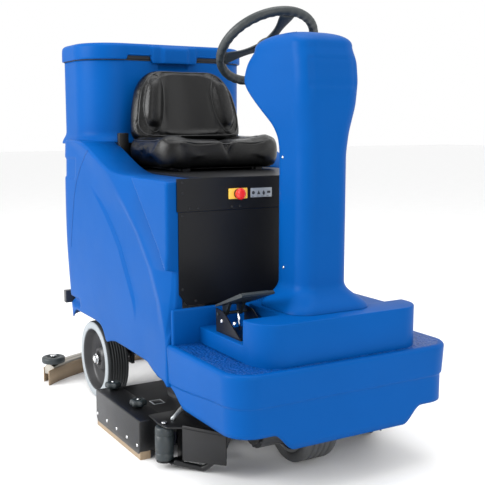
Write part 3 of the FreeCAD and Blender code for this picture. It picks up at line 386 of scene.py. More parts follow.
# ---- Body moulding -----------------------------------------------------------------------------
# One large rotomoulded polyethylene body: it holds the clean water, covers the batteries and the rear
# wheels, and carries the seat and the tank. A channel runs down each side in front of the fender.
body_rear = 1.500
bay_half = 0.264
bay_rear = 1.188
body_top_line = np.array([(0.42, 0.898), (0.80, 0.898), (0.88, 0.906), (0.955, 0.928), (1.09, 0.978),
                          (1.17, 1.003), (1.24, 1.010), (1.38, 1.010), (1.45, 0.985), (1.51, 0.945)])
body_low_line = np.array([(0.42, 0.250), (0.435, 0.253), (0.457, 0.267), (0.51, 0.269), (0.564, 0.282),
                          (0.604, 0.296), (0.766, 0.301), (0.896, 0.302), (0.945, 0.293), (0.986, 0.280),
                          (1.000, 0.286), (1.012, 0.312), (1.032, 0.330), (1.055, 0.338), (1.10, 0.341),
                          (1.32, 0.341), (1.35, 0.322), (1.38, 0.300), (1.52, 0.297)])
fender_line = np.array([(0.435, 0.390), (0.478, 0.515), (0.542, 0.613), (0.645, 0.721), (0.770, 0.813),
                        (0.885, 0.885), (0.955, 0.925), (1.09, 0.978), (1.22, 1.010)])
crease_line = np.array([(0.690, 0.440), (0.702, 0.481), (0.734, 0.530), (0.767, 0.577), (0.818, 0.650),
                        (0.880, 0.706), (0.954, 0.763), (1.031, 0.811), (1.10, 0.850)])


def follow(line, value, by=0, smooth=5):
    """The other coordinate of a line at given values of one coordinate, with its bends eased by a
    running mean over a fine resampling."""
    fine = np.linspace(line[0, by], line[-1, by], 400)
    other = np.interp(fine, line[:, by], line[:, 1 - by])
    kernel = np.ones(2 * smooth + 1) / (2 * smooth + 1)
    other = np.convolve(np.pad(other, smooth, mode="edge"), kernel, mode="valid")
    return np.interp(value, fine, other)


def body_depth(s, z):
    """How far the side lies inside the body's full width. In front of the fender's edge the surface
    sinks in a straight slope to the channel, which ends at a steep wall along a diagonal; in front of
    that diagonal the seat box has its full width again. The fender steps in by a few millimetres in
    front of a soft crease, and two shallow recesses lie near the top and over the arch."""
    edge = follow(fender_line, z, by=1)
    diagonal = np.where(z > 0.623, 0.440 + (z - 0.623) * 0.260 / 0.266, 0.415)
    slope = np.clip((edge - s) / np.maximum(edge - diagonal, 0.012), 0, 1.6)
    rounded = np.sqrt(slope ** 2 + 0.02) - math.sqrt(0.02)
    channel = 0.041 * np.clip(rounded, 0, 1) * ease((z - 0.392) / 0.05)
    inside = ease((s - diagonal + 0.001) / 0.009)
    channel = channel * np.where(z > 0.60, inside, 1.0)
    facet = 0.004 * (1 - inside) * ease((z - 0.64) / 0.05)
    crease = follow(crease_line, np.clip(z, 0.44, 0.85), by=1)
    step = 0.0065 * ease((crease - s + 0.004) / 0.016) * ease((0.86 - z) / 0.10) * ease((z - 0.40) / 0.12)
    step = step * ease((s - edge) / 0.05)
    plate = ease((s - 1.254) / 0.006) * ease((1.395 - s) / 0.006) * ease((z - 0.858) / 0.006) \
        * ease((0.942 - z) / 0.006) * 0.005
    slot = ease((s - 1.234) / 0.008) * ease((1.347 - s) / 0.008) * ease((z - 0.357) / 0.006) \
        * ease((0.390 - z) / 0.006) * 0.016
    crown = 0.010 * ((z - 0.62) / 0.4) ** 2 * ease((s - edge) / 0.2)
    return channel + facet + step + plate + slot + crown


def body_column_values():
    """Shares of the way down one side at which its columns stand, close together over the front part
    of the side and wider apart behind."""
    fine = np.linspace(0, 1, 118, endpoint=False) * 0.560
    coarse = 0.560 + np.linspace(0, 1, 42) * (0.900 - 0.560)
    return np.concatenate([fine, coarse]) / 0.900


corner_front, corner_rear = 0.012, 0.150
cut_start = 0.215
cut_slope = 0.7255
side_share = body_column_values()
front_steps, rear_turn, rear_across = 5, 22, 14
levels = np.linspace(0, 1, 104)
turn_front = np.linspace(0, math.pi / 2, 6)[1:-1]
shelf_from = front_steps + len(turn_front)
turn_rear = np.linspace(0, math.pi / 2, rear_turn + 1)[1:]
nominal = np.concatenate([np.full(front_steps + len(turn_front), body_front + 0.004),
                          body_front + corner_front + side_share * (1.345 - body_front - corner_front),
                          1.345 + 0.155 * np.sin(turn_rear), np.full(rear_across, body_rear)])
low_z = follow(body_low_line, nominal, smooth=2)
top_z = follow(body_top_line, nominal, smooth=12)
top_round = 0.010
wall_z = low_z + (top_z - top_round - low_z) * levels[:, None]


def body_plan(z, inset):
    """X and station of the right half's columns at given heights, at an inset. Rows are heights."""
    rear = np.interp(z, (0.3, 0.6, 0.94), (1.455, 1.485, 1.500)) - inset
    half = nose_half - inset
    depth = body_depth(np.full(z.shape[0], body_front)[:, None] + 0 * z, z)
    side_x = half - depth
    x, s = np.zeros(z.shape), np.zeros(z.shape)
    a = front_steps
    share = np.linspace(0, 1, front_steps, endpoint=False)
    x[:, :a] = 0.345 + (side_x[:, :a] - corner_front - 0.345) * share
    s[:, :a] = body_front + inset
    b = a + len(turn_front)
    x[:, a:b] = side_x[:, a:b] - corner_front + corner_front * np.sin(turn_front)
    s[:, a:b] = body_front + inset + corner_front * (1 - np.cos(turn_front))
    c = b + len(side_share)
    start = body_front + inset + corner_front
    s[:, b:c] = start + side_share * (rear[:, b:c] - corner_rear - start)
    x[:, b:c] = half - body_depth(s[:, b:c], z[:, b:c])
    d = c + rear_turn
    end_x = half - body_depth(rear[:, c:d] - corner_rear, z[:, c:d])
    x[:, c:d] = end_x - corner_rear + corner_rear * np.cos(turn_rear)
    s[:, c:d] = rear[:, c:d] - corner_rear + corner_rear * np.sin(turn_rear)
    left = np.linspace(1, 0, rear_across + 1)[1:]
    x[:, d:] = (x[:, d - 1:d]) * left
    s[:, d:] = rear[:, d:]
    return x, s


def body_rows(z, inset):
    """Whole rows of the body, from the front opening's left edge round the rear to its right edge."""
    x, s = body_plan(z, inset)
    right = (np.stack([x, along(s), z], -1) * (-1, 1, 1))[:, ::-1]
    above = ease((z - well_height + 0.004) / 0.008)
    beside = np.arange(z.shape[1]) < shelf_from
    cut = np.where(beside, cut_start - 0.012 + (x - 0.345) * 0.2, cut_start + (s - body_front) * cut_slope)
    left = np.stack([x - above * np.maximum(0, x - cut), along(s), z], -1)
    return np.concatenate([left, right[:, 1:]], axis=1)


body_grid = [body_rows(wall_z, 0.0)]
for a in np.radians((22, 45, 68, 90)):
    arc_z = (top_z - top_round * (1 - math.sin(a)))[None]
    body_grid.append(body_rows(arc_z, top_round * (1 - math.cos(a))))
body_grid = np.concatenate(body_grid)
body_rows_count, body_width = body_grid.shape[:2]
rim_row = body_grid[-1]
half_columns = len(nominal)
bay_columns = [k for k in range(shelf_from, half_columns) if rim_row[k, 1] <= along(bay_rear)]
points = [body_grid.reshape(-1, 3)]
faces = grid_faces(body_rows_count, body_width)
offset = body_rows_count * body_width
rim_start = (body_rows_count - 1) * body_width
for side in (1, -1):
    index = bay_columns if side > 0 else [body_width - 1 - k for k in bay_columns][::-1]
    edge = rim_row[index]
    inner = edge.copy()
    inner[:, 0] = np.clip(side * bay_half, -bay_half, edge[:, 0] - 0.003) if side > 0 else -bay_half
    drop = inner.copy()
    drop[:, 2] = 0.892
    points += [inner, drop]
    n = len(index)
    for k in range(n - 1):
        faces.append([rim_start + index[k], rim_start + index[k + 1], offset + k + 1, offset + k])
        faces.append([offset + k, offset + k + 1, offset + n + k + 1, offset + n + k])
    if side > 0:
        left_end = offset + n - 1
    else:
        right_end = offset
    offset += 2 * n
rear_index = list(range(bay_columns[-1], body_width - bay_columns[-1]))
faces.append([rim_start + k for k in rear_index] + [right_end, left_end])
body_moulding = mesh_piece("body_moulding", np.concatenate(points), faces, [moulded_blue])
give_wall(body_moulding, 0.005)
fit(body_moulding, "chassis", "body_blue", "body_shell")

bay_wall = block("seat_bay_rear_wall", (-bay_half, bay_rear - 0.004, 0.892),
                 (bay_half, bay_rear + 0.004, 1.000), [moulded_blue], 0.002, 2)
fit(bay_wall, "chassis", "body_blue")


def tube(name, path, radius, materials, sides=10, closed=False):
    """Round bar along a path of points: circles square to the path, turned as little as possible from
    one to the next, with both ends closed."""
    path = np.asarray(path, float)
    ahead = np.roll(path, -1, 0) - np.roll(path, 1, 0)
    if not closed:
        ahead[0], ahead[-1] = path[1] - path[0], path[-1] - path[-2]
    ahead /= np.linalg.norm(ahead, axis=1)[:, None]
    across = np.cross(ahead[0], (0, 0, 1) if abs(ahead[0][2]) < 0.9 else (1, 0, 0))
    frames = []
    for direction in ahead:
        across = across - direction * (across @ direction)
        across = across / np.linalg.norm(across)
        frames.append((across, np.cross(direction, across)))
    frames = np.array(frames)
    angle = np.linspace(0, 2 * math.pi, sides, endpoint=False)
    radius = np.broadcast_to(np.asarray(radius, float), len(path))[:, None, None]
    rings = path[:, None] + radius * (frames[:, :1] * np.cos(angle)[None, :, None]
                                      + frames[:, 1:] * np.sin(angle)[None, :, None])
    if closed:
        rings = np.concatenate([rings, rings[:1]])
    faces = grid_faces(len(rings), sides, True) if closed else capped_faces(len(rings), sides)
    made = mesh_piece(name, rings, faces, materials)
    if closed:
        weld(made)
    return made


def weld(piece, distance=1e-5):
    """Join points that lie on each other."""
    edit_mesh(piece, lambda bm: bmesh.ops.remove_doubles(bm, verts=bm.verts, dist=distance))


def curve_through(points, count):
    """Smooth curve through points: cubic pieces whose slopes come from the neighbours on each side."""
    p = np.asarray(points, float)
    p = np.concatenate([2 * p[:1] - p[1:2], p, 2 * p[-1:] - p[-2:-1]])
    t = np.linspace(0, len(p) - 3 - 1e-9, count)
    k = t.astype(int)
    u = (t - k)[:, None]
    a, b, c, d = p[k], p[k + 1], p[k + 2], p[k + 3]
    return 0.5 * (2 * b + (c - a) * u + (2 * a - 5 * b + 4 * c - d) * u ** 2
                  + (3 * b - a - 3 * c + d) * u ** 3)


both_sides = (("right", -1), ("left", 1))
seam_blue = finish("seam_blue", (0.004, 0.060, 0.240), 0.5)
seam = curve_through([(1.095, 0.975), (1.159, 0.940), (1.221, 0.874), (1.261, 0.802), (1.287, 0.698),
                      (1.314, 0.588)], 60)
for label, side in both_sides:
    seam_x = nose_half - body_depth(seam[:, 0], seam[:, 1]) + 0.0002
    line = tube("body_seam_" + label, np.stack([side * seam_x, along(seam[:, 0]), seam[:, 1]], -1),
                0.0012, [seam_blue], 8)
    fit(line, "chassis", "body_blue")


# ---- Steering column ---------------------------------------------------------------------------
# Tall polyethylene shroud over the steering mast. The stem stands on a flared foot on the plinth, and
# the head swells out rearwards to carry the steering wheel. A flat cover closes its back.
column_heights = np.concatenate([np.linspace(plinth_height, 0.60, 14, endpoint=False),
                                 np.linspace(0.60, 0.96, 24, endpoint=False),
                                 np.linspace(0.96, 1.30, 62, endpoint=False)])
front_line = np.array([(0.60, 0.137), (0.985, 0.137), (1.060, 0.130), (1.130, 0.119), (1.200, 0.115),
                       (1.255, 0.122), (1.300, 0.140)])
rear_line = np.array([(0.60, 0.310), (1.000, 0.310), (1.030, 0.314), (1.068, 0.335), (1.105, 0.380),
                      (1.158, 0.447), (1.192, 0.482), (1.215, 0.487), (1.262, 0.464), (1.300, 0.422)])
half_line = np.array([(0.60, 0.088), (0.98, 0.088), (1.04, 0.092), (1.12, 0.106), (1.18, 0.110),
                      (1.255, 0.110), (1.300, 0.104)])
column_counts = (30, 16, 50)
rows = []
for z in column_heights:
    flare = float(ease((0.600 - z) / 0.084)) ** 1.6
    front = float(follow(front_line, z)) - 0.054 * flare
    rear = float(follow(rear_line, z, smooth=8)) + 0.010 * flare
    half = float(follow(half_line, z, smooth=10)) + 0.058 * flare
    x, s = outline(half, front, rear, 0.055 + 0.012 * flare, 0.050, *column_counts)
    panel = ease((0.083 - np.abs(x)) / 0.004) * ease((z - 1.176) / 0.005) * ease((1.268 - z) / 0.005)
    s = s + 0.0035 * panel * (s < 0.2)
    rows.append(np.stack([x, along(s), np.full_like(x, z)], -1))
crown_front, crown_rear, crown_half = front, rear, half
crown_rise = 1.344 - 1.300
for a in np.radians(np.linspace(6, 88, 12)):
    shrink = 1 - math.cos(a)
    x, s = outline(crown_half - 0.060 * shrink, crown_front + 0.120 * shrink ** 1.1,
                   crown_rear - 0.150 * shrink ** 1.05, 0.055 - 0.010 * shrink, 0.050 - 0.005 * shrink,
                   *column_counts)
    rows.append(np.stack([x, along(s), np.full_like(x, 1.300 + crown_rise * math.sin(a))], -1))
for t in (0.7, 0.35, 0.05):
    x, s = outline(0.050 * t, 0.262 - 0.020 * t, 0.262 + 0.008 * t, 0.004 * t, 0.004 * t, *column_counts)
    rows.append(np.stack([x, along(s), np.full_like(x, 1.344)], -1))
width = len(rows[0])
faces = grid_faces(len(rows), width, True)
faces.append(list(range((len(rows) - 1) * width, len(rows) * width)))
column_shroud = mesh_piece("column_shroud", np.array(rows), faces, [moulded_blue])
smoother = column_shroud.modifiers.new("smooth", "SMOOTH")
smoother.factor = 0.5
smoother.iterations = 2
fit(column_shroud, "chassis", "body_blue", "column_cover")

bright_screw = finish("bright_screw", (0.78, 0.79, 0.80), 0.22, metallic=1.0, grain_depth=0.0)


def dome_screw(name, centre, direction, radius, body, slot="bright_steel", made=None):
    """Round-headed screw: a low dome on a short cylinder with a cross slot pressed in, facing along a
    direction. The dome's height falls with the square of the distance from its middle."""
    direction = np.array(direction, float)
    direction /= np.linalg.norm(direction)
    across = np.cross(direction, (0, 0, 1) if abs(direction[2]) < 0.9 else (1, 0, 0))
    across /= np.linalg.norm(across)
    other = np.cross(direction, across)
    share = np.array([1.0, 1.0, 0.92, 0.7, 0.45, 0.2, 0.0])
    rise = np.array([-0.4, 0.15, 0.32, 0.45, 0.53, 0.56, 0.57]) * radius
    angle = np.linspace(0, 2 * math.pi, 24, endpoint=False)
    rings = []
    for share_of, up in zip(share, rise):
        x, y = radius * share_of * np.cos(angle), radius * share_of * np.sin(angle)
        cross = (np.minimum(np.abs(x), np.abs(y)) < radius * 0.11) & (share_of < 0.6) & (up > 0)
        up = up - np.where(cross, 0.16 * radius, 0.0)
        rings.append(np.array(centre) + x[:, None] * across + y[:, None] * other + up[:, None] * direction)
    faces = grid_faces(len(rings), 24, True)
    piece = mesh_piece(name, np.array(rings), faces, [made or bright_screw])
    weld(piece)
    fit(piece, body, slot)
    return piece


for label, side in both_sides:
    for number, (s, z) in enumerate(((0.255, 0.972), (0.247, 0.636))):
        dome_screw(f"column_screw_{label}_{number}", (side * 0.0885, along(s), z), (side, 0, 0), 0.0045,
                   "chassis")


# ---- Recovery tank and lid ---------------------------------------------------------------------
# Blue polyethylene tank for the dirty water, open at the top and bolted down on the body. It flares at
# its foot. The lid is the same plastic, hinged at the rear, with a finger grip over a recess.
tank_half, tank_front, tank_rear, tank_rim = 0.355, 1.195, 1.560, 1.314
tank_front_radius, tank_rear_radius = 0.150, 0.110
tank_counts = (26, 20, 84)
tank_rows = []
for z in np.concatenate([np.linspace(0.992, 1.05, 12, endpoint=False), np.linspace(1.05, tank_rim, 34)]):
    spread = 0.016 * float(ease((1.045 - z) / 0.050)) ** 1.5 - 0.0015
    x, s = outline(tank_half + spread, tank_front - spread, tank_rear + spread * 0.3, tank_front_radius,
                   tank_rear_radius, *tank_counts)
    recess = ease((0.066 - np.abs(x)) / 0.006) * ease((z - 1.282) / 0.006) * (s < 1.25)
    tank_rows.append(np.stack([x, along(s + 0.012 * recess), np.full_like(x, z)], -1))
tank_wall = mesh_piece("tank_wall", np.array(tank_rows), grid_faces(len(tank_rows), len(tank_rows[0]), True),
                       [moulded_blue])
give_wall(tank_wall, 0.0055)
fit(tank_wall, "chassis", "body_blue", "recovery_tank")
x, s = outline(tank_half - 0.004, tank_front + 0.004, tank_rear - 0.004, 0.146, 0.106, *tank_counts)
floor_ring = np.stack([x, along(s), np.full_like(x, 1.016)], -1)
tank_floor = mesh_piece("tank_floor", np.concatenate([floor_ring - (0, 0, 0.004), floor_ring]),
                        capped_faces(2, len(x)), [moulded_blue])
fit(tank_floor, "chassis", "body_blue")


def lathe(name, centre, axis, profile, materials, count=48, shape=None, body=None, slot=None):
    """Turned piece: a profile of (distance along the axis, radius) pairs carried round an axis, which
    runs the way that the outer side of the profile does. shape multiplies the radius by a function of
    the angle and the distance. A radius of nothing closes an end."""
    axis = np.array(axis, float) / np.linalg.norm(axis)
    first = np.cross(axis, (0, 0, 1) if abs(axis[2]) < 0.9 else (1, 0, 0))
    first /= np.linalg.norm(first)
    second = np.cross(axis, first)
    angle = np.linspace(0, 2 * math.pi, count, endpoint=False)
    profile = np.array(profile, float)
    radius = profile[:, 1:2] * (np.ones(count) if shape is None else shape(angle[None], profile[:, :1]))
    rings = (np.array(centre, float) + profile[:, :1, None] * axis
             + radius[..., None] * (np.cos(angle)[:, None] * first + np.sin(angle)[:, None] * second))
    made = mesh_piece(name, rings, grid_faces(len(profile), count, True), materials)
    weld(made)
    if body:
        fit(made, body, slot)
    return made


lathe("tank_port", (0.150, along(1.556), 1.090), (0, 1, 0),
      [(0.0, 0.034), (0.006, 0.034), (0.008, 0.028), (0.034, 0.028), (0.036, 0.0288), (0.042, 0.0288),
       (0.044, 0.027), (0.044, 0.023), (0.0, 0.023), (0.0, 0.034)], [moulded_blue], 40,
      body="chassis", slot="body_blue")


def lid_row(grow, z, bottom=0.0):
    """Closed row of the lid: the tank's plan grown outwards. Across the front the lower edge is raised
    in two places to leave slots darkened by painted shade sheets, and a tongue with a swollen grip comes
    down between them."""
    x, s = outline(tank_half + grow, tank_front - grow, tank_rear + grow * 0.8,
                   tank_front_radius + min(grow, 0), tank_rear_radius + min(grow, 0), *tank_counts)
    front = (s < 1.30)
    tongue = ease((0.102 - np.abs(x)) / 0.010) * front
    grip = ease((0.064 - np.abs(x)) / 0.018) * front * ease((1.372 - z) / 0.012)
    raised = ease((0.053 - np.abs(np.abs(x) - 0.149)) / 0.007) * front
    height = z + bottom * (0.015 * raised - 0.012 * tongue)
    return np.stack([x, along(s - 0.008 * tongue * ease((1.376 - z) / 0.010) - 0.012 * grip), height], -1)


lid_rows = []
for grow, z, bottom in ((-0.006, 1.317, 1), (0.0055, 1.317, 1), (0.0065, 1.319, 1), (0.0068, 1.324, 0.8),
                        (0.0068, 1.329, 0.4), (0.0068, 1.332, 0.1), (0.0068, 1.335, 0), (0.0068, 1.338, 0),
                        (0.0068, 1.341, 0), (0.0068, 1.345, 0), (0.0066, 1.352, 0), (0.0062, 1.360, 0)):
    lid_rows.append(lid_row(grow, z, bottom))
for a in np.radians((15, 30, 45, 60, 75, 90)):
    lid_rows.append(lid_row(0.006 - 0.018 * (1 - math.cos(a)), 1.362 + 0.017 * math.sin(a)))
for inset in (0.03, 0.05, 0.09, 0.14):
    lid_rows.append(lid_row(-inset, 1.379 + 0.002 * min(1, inset / 0.05)))
width = len(lid_rows[0])
lid_faces = grid_faces(len(lid_rows), width, True)
lid_faces.append(list(range((len(lid_rows) - 1) * width, len(lid_rows) * width)))
lid_cover = mesh_piece("lid_cover", np.array(lid_rows), lid_faces, [moulded_blue])
give_wall(lid_cover, 0.004)
fit(lid_cover, "lid", "body_blue", "tank_lid")
for label, x in (("right", -0.200), ("left", 0.200)):
    lug = block("lid_lug_" + label, (x - 0.012, 1.550, 1.322), (x + 0.012, 1.586, 1.340), [moulded_blue])
    lathe("lid_knuckle_" + label, (x - 0.012, along(1.578), 1.308), (1, 0, 0),
          [(0, 0), (0, 0.009), (0.024, 0.009), (0.024, 0)], [moulded_blue], 20, body="lid", slot="body_blue")
    web = block("lid_lug_web_" + label, (x - 0.012, 1.570, 1.308), (x + 0.012, 1.586, 1.324), [moulded_blue],
                0.001)
    for piece in (lug, web):
        fit(piece, "lid", "body_blue")
slot_x, slot_half = 0.149, 0.048
# Near-black sheets set in the two raised slots under the lid's front edge are painted shade for the gap
# between the lid and the tank.
slot_painted_shade = finish("slot_painted_shade", (0.004, 0.006, 0.012), 0.7)
for label, side in both_sides:
    shade = block("lid_slot_painted_shade_" + label, (side * slot_x - slot_half, 1.1920, 1.3190),
                  (side * slot_x + slot_half, 1.1990, 1.3335), [slot_painted_shade], 0.001)
    fit(shade, "lid", "body_blue")


# ---- Seat --------------------------------------------------------------------------------------
# Foam cushion and backrest in glossy black vinyl, welded at piped seams. The cushion rolls over its
# front edge, the backrest has a long padded bolster down each side, and both sit on a black pan.
vinyl = finish("black_vinyl", (0.0016, 0.0017, 0.0019), 0.20, drift=0.15, drift_scale=9.0, grain="cells",
               grain_scale=900.0, grain_depth=0.00025, smudge=0.05, specular=0.30)
black_panel = finish("black_panel", (0.0050, 0.0053, 0.0062), 0.36, specular=0.26, drift=0.12,
                     grain_scale=700.0, grain_depth=0.00025)
piping = finish("vinyl_piping", (0.010, 0.0105, 0.011), 0.22, grain_depth=0.0001)


def pad(name, half_width, half_depth, thickness, front_corner, rear_corner, raise_by, place):
    """Closed pad whose plan is a rounded rectangle and whose edge is half an ellipse. raise_by adds a
    height to its upper side as a function of place in the plan, and place carries points to the frame."""
    rows = []
    shares = [(0.03, 0), (0.3, 0), (0.6, 0), (0.85, 0)]
    for a in np.radians(np.arange(-90, 91, 15)):
        shares.append((1 - 0.07 * (1 - math.cos(a)), 0.5 + 0.5 * math.sin(a)))
    shares += [(share, 1.0) for share in np.linspace(0.88, 0.03, 18)]
    for share, level in shares:
        x, y = outline(half_width, -half_depth, half_depth, front_corner, rear_corner, 16, 10, 22)
        x, y = x * share, y * share
        rows.append(np.stack([x, y, level * (thickness + raise_by(x, y))], -1))
    return mesh_piece(name, place(np.array(rows)), capped_faces(len(rows), len(rows[0])), [vinyl])


def inflate(piece, voxel=0.0055, pressure=4.0, cap=0.007, frames=20):
    """Stuff a pad: remesh it evenly, blow it up as cloth with no gravity, and keep each point within
    the cap of where it was. The result replaces the mesh, with one subdivision left to smooth it."""
    even = piece.modifiers.new("even", "REMESH")
    even.mode = "VOXEL"
    even.voxel_size = voxel
    mesh = bpy.data.meshes.new_from_object(piece.evaluated_get(bpy.context.evaluated_depsgraph_get()))
    piece.modifiers.clear()
    piece.data = mesh
    start = np.zeros(len(mesh.vertices) * 3)
    mesh.vertices.foreach_get("co", start)
    cloth = piece.modifiers.new("cloth", "CLOTH")
    cloth.settings.use_pressure = True
    cloth.settings.uniform_pressure_force = pressure
    cloth.settings.effector_weights.gravity = 0.0
    for number in range(1, frames + 1):
        bpy.context.scene.frame_set(number)
    end = np.zeros(len(start))
    blown = piece.evaluated_get(bpy.context.evaluated_depsgraph_get())
    blown.data.vertices.foreach_get("co", end)
    move = (end - start).reshape(-1, 3)
    length = np.linalg.norm(move, axis=1)[:, None]
    move *= np.minimum(1.0, cap / np.maximum(length, 1e-9))
    piece.modifiers.clear()
    piece.data.vertices.foreach_set("co", (start.reshape(-1, 3) + move).ravel())
    bpy.context.scene.frame_set(1)
    piece.data.polygons.foreach_set("use_smooth", np.ones(len(piece.data.polygons), bool))
    fine = piece.modifiers.new("fine", "SUBSURF")
    fine.levels = fine.render_levels = 1


def seat_place(points):
    """Cushion points to the frame: the pad lies flat on the pan."""
    return points + (0, along(0.924), 0.9210)


def seat_height(x, y):
    """Height added to the seat: thigh bolsters at the sides, a rolled front, a dip to sit in, and a
    short pleat at the middle of the front."""
    bolster = 0.014 * ease((np.abs(x) - 0.110) / 0.09)
    dip = -0.014 * np.exp(-(x / 0.13) ** 2 - ((y - 0.02) / 0.11) ** 2)
    roll = 0.008 * np.exp(-((y + 0.105) / 0.035) ** 2)
    pleat = -0.026 * np.exp(-(x / 0.011) ** 2) * ease((-y - 0.075) / 0.05)
    return bolster + dip + roll + pleat


lean = math.radians(13)
back_up = np.array([0, math.sin(lean), math.cos(lean)])
back_out = np.array([0, -math.cos(lean), math.sin(lean)])
back_foot = np.array([0, along(1.114), 0.984])


def back_place(points):
    """Backrest points to the frame: the pad's depth runs up the lean, its top side faces forward, and it
    narrows towards the top."""
    narrow = 1 - 0.17 * ease((points[..., 1:2] + 0.09) / 0.24)
    return (points[..., :1] * narrow * (1, 0, 0) + (points[..., 1:2] + 0.146) * back_up
            + (points[..., 2:3] + 0.004) * back_out + back_foot)


def back_height(x, y):
    """Height added to the backrest: two tall bolsters with a furrow round each, and a dip between."""
    bolster = 0.030 * np.exp(-((np.abs(x) - 0.155) / 0.036) ** 4 - ((y - 0.005) / 0.110) ** 4)
    ring = np.sqrt(((np.abs(x) - 0.155) / 0.042) ** 2 + ((y - 0.005) / 0.112) ** 2)
    furrow = -0.007 * np.exp(-((ring - 1) / 0.22) ** 2)
    dip = -0.008 * np.exp(-(x / 0.08) ** 2) + 0.010 * ease((-y - 0.09) / 0.04)
    return bolster + furrow + dip


def near_surface(piece, starts, direction, sink=0.0008):
    """Points where rays from the starts first meet a piece, sunk a little below its surface."""
    tree = BVHTree.FromObject(piece, bpy.context.evaluated_depsgraph_get())
    found = []
    for start in starts:
        hit = tree.ray_cast(Vector(start), Vector(direction))[0]
        if hit is not None:
            found.append(np.array(hit) + np.array(direction) * sink)
    return np.array(found)


def pad_piece(pad_object, node):
    """Inflate a pad and let it stand for its plain solid in the frame."""
    inflate(pad_object)
    fit(pad_object, "seat", "vinyl", node)


cushion_pad = pad("cushion_pad", 0.248, 0.176, 0.084, 0.085, 0.040, seat_height, seat_place)
pad_piece(cushion_pad, "seat_cushion")
backrest_pad = pad("backrest_pad", 0.229, 0.142, 0.076, 0.050, 0.098, back_height, back_place)
pad_piece(backrest_pad, "seat_backrest")


def pipe(name, line, place, pad_object, direction, closed=True, radius=0.0028):
    """Piping: a cord of vinyl along a line in the pad's plan, dropped on the pad's surface."""
    line = np.array(line, float)
    starts = place(np.concatenate([line, np.full((len(line), 1), 0.16)], 1))
    path = near_surface(pad_object, starts, direction, -0.0006)
    for _ in range(4):
        even = (np.roll(path, 1, 0) + 2 * path + np.roll(path, -1, 0)) / 4
        path = even if closed else np.concatenate([path[:1], even[1:-1], path[-1:]])
    made = tube(name, path, radius, [piping], 8, closed)
    fit(made, "seat", "vinyl")


x, y = outline(0.232, -0.158, 0.158, 0.074, 0.034, 14, 8, 20)
pipe("cushion_piping", np.stack([x, y], -1), seat_place, cushion_pad, (0, 0, -1))
x, y = outline(0.213, -0.122, 0.128, 0.045, 0.088, 14, 8, 20)
pipe("backrest_piping", np.stack([x, y], -1), back_place, backrest_pad, tuple(-back_out))
turn = np.linspace(0, 2 * math.pi, 72, endpoint=False)
for label, side in both_sides:
    x = side * (0.155 + 0.044 * np.cos(turn))
    y = 0.005 + 0.113 * np.sin(turn)
    loop = np.stack([x, y], -1)[::-side]
    pipe("bolster_piping_" + label, loop, back_place, backrest_pad, tuple(-back_out), True, 0.0022)
for label, side in both_sides:
    y = np.linspace(-0.110, 0.120, 24)
    x = side * (0.158 - 0.012 * ease((y + 0.02) / 0.12))
    pipe("thigh_piping_" + label, np.stack([x, y], -1), seat_place, cushion_pad, (0, 0, -1), False, 0.0022)
seat_bracket = block("seat_bracket", (-0.266, 1.119, 0.870), (-0.226, 1.141, 1.037), [black_panel], 0.004)
fit(seat_bracket, "seat_base", "black_steel")


# ---- Steering wheel ----------------------------------------------------------------------------
# Wheel of dark foamed rubber over a steel ring, with three flat spokes that widen to the rim and a round
# cap. The underside of the rim has finger bumps.
grip_rubber = finish("grip_rubber", (0.016, 0.022, 0.024), 0.46, grain_scale=500.0, grain_depth=0.0004)
wheel_middle = np.array([0, along(0.489), 1.318])
tilt = math.radians(39.5)
wheel_axis = np.array([0, math.sin(tilt), math.cos(tilt)])
wheel_right = np.array([1.0, 0, 0])
wheel_down = np.array([0, math.cos(tilt), -math.sin(tilt)])
around = np.linspace(0, 2 * math.pi, 216, endpoint=False)[:, None]
across = np.linspace(0, 2 * math.pi, 20, endpoint=False)[None]
grip = 0.0148 + 0.0007 * np.cos(36 * around) * ease(-np.sin(across) * 1.6)
spread = 0.160 + grip * np.cos(across)
rim_points = (wheel_middle + (spread * np.cos(around))[..., None] * wheel_right
              + (spread * np.sin(around))[..., None] * wheel_down
              + (grip * np.sin(across))[..., None] * wheel_axis)
rim_faces = grid_faces(217, 20, True)
rim_faces = [[k % (216 * 20) for k in face] for face in rim_faces]
wheel_rim = mesh_piece("wheel_rim", rim_points, rim_faces, [grip_rubber])


def outwards(piece):
    """Turn the faces of a closed piece so that they all point outwards."""
    edit_mesh(piece, lambda bm: bmesh.ops.recalc_face_normals(bm, faces=bm.faces))


outwards(wheel_rim)
fit(wheel_rim, "steering", "wheel_rubber", "steering_wheel")
turn = np.linspace(0, 2 * math.pi, 24, endpoint=False)
for label, degrees in (("left", 20), ("right", 160), ("front", 270)):
    ahead = math.cos(math.radians(degrees)) * wheel_right + math.sin(math.radians(degrees)) * wheel_down
    beside = np.cross(wheel_axis, ahead)
    rings = []
    for t in np.linspace(0, 1, 12):
        reach = 0.022 + t * 0.126
        half = 0.021 - 0.007 * math.sin(math.pi * min(1, t * 1.15)) + 0.006 * t ** 3
        thick = 0.0055 - 0.001 * t
        dish = -0.010 * math.sin(math.pi * 0.5 * t) + 0.002
        flat_x = np.sign(np.cos(turn)) * np.abs(np.cos(turn)) ** 0.55 * half
        flat_z = np.sign(np.sin(turn)) * np.abs(np.sin(turn)) ** 0.8 * thick
        rings.append(wheel_middle + reach * ahead + flat_x[:, None] * beside
                     + (flat_z + dish + 0.006 * (1 - t))[:, None] * wheel_axis)
    spoke = mesh_piece("wheel_spoke_" + label, np.array(rings), capped_faces(len(rings), 24), [grip_rubber])
    outwards(spoke)
    fit(spoke, "steering", "wheel_rubber")
lathe("wheel_cap", wheel_middle, wheel_axis,
      [(-0.018, 0), (-0.018, 0.026), (-0.006, 0.033), (0.006, 0.036), (0.013, 0.034), (0.017, 0.026),
       (0.0175, 0.0245), (0.0195, 0.0235), (0.021, 0.018), (0.0225, 0)], [grip_rubber], 48,
      body="steering", slot="wheel_rubber")


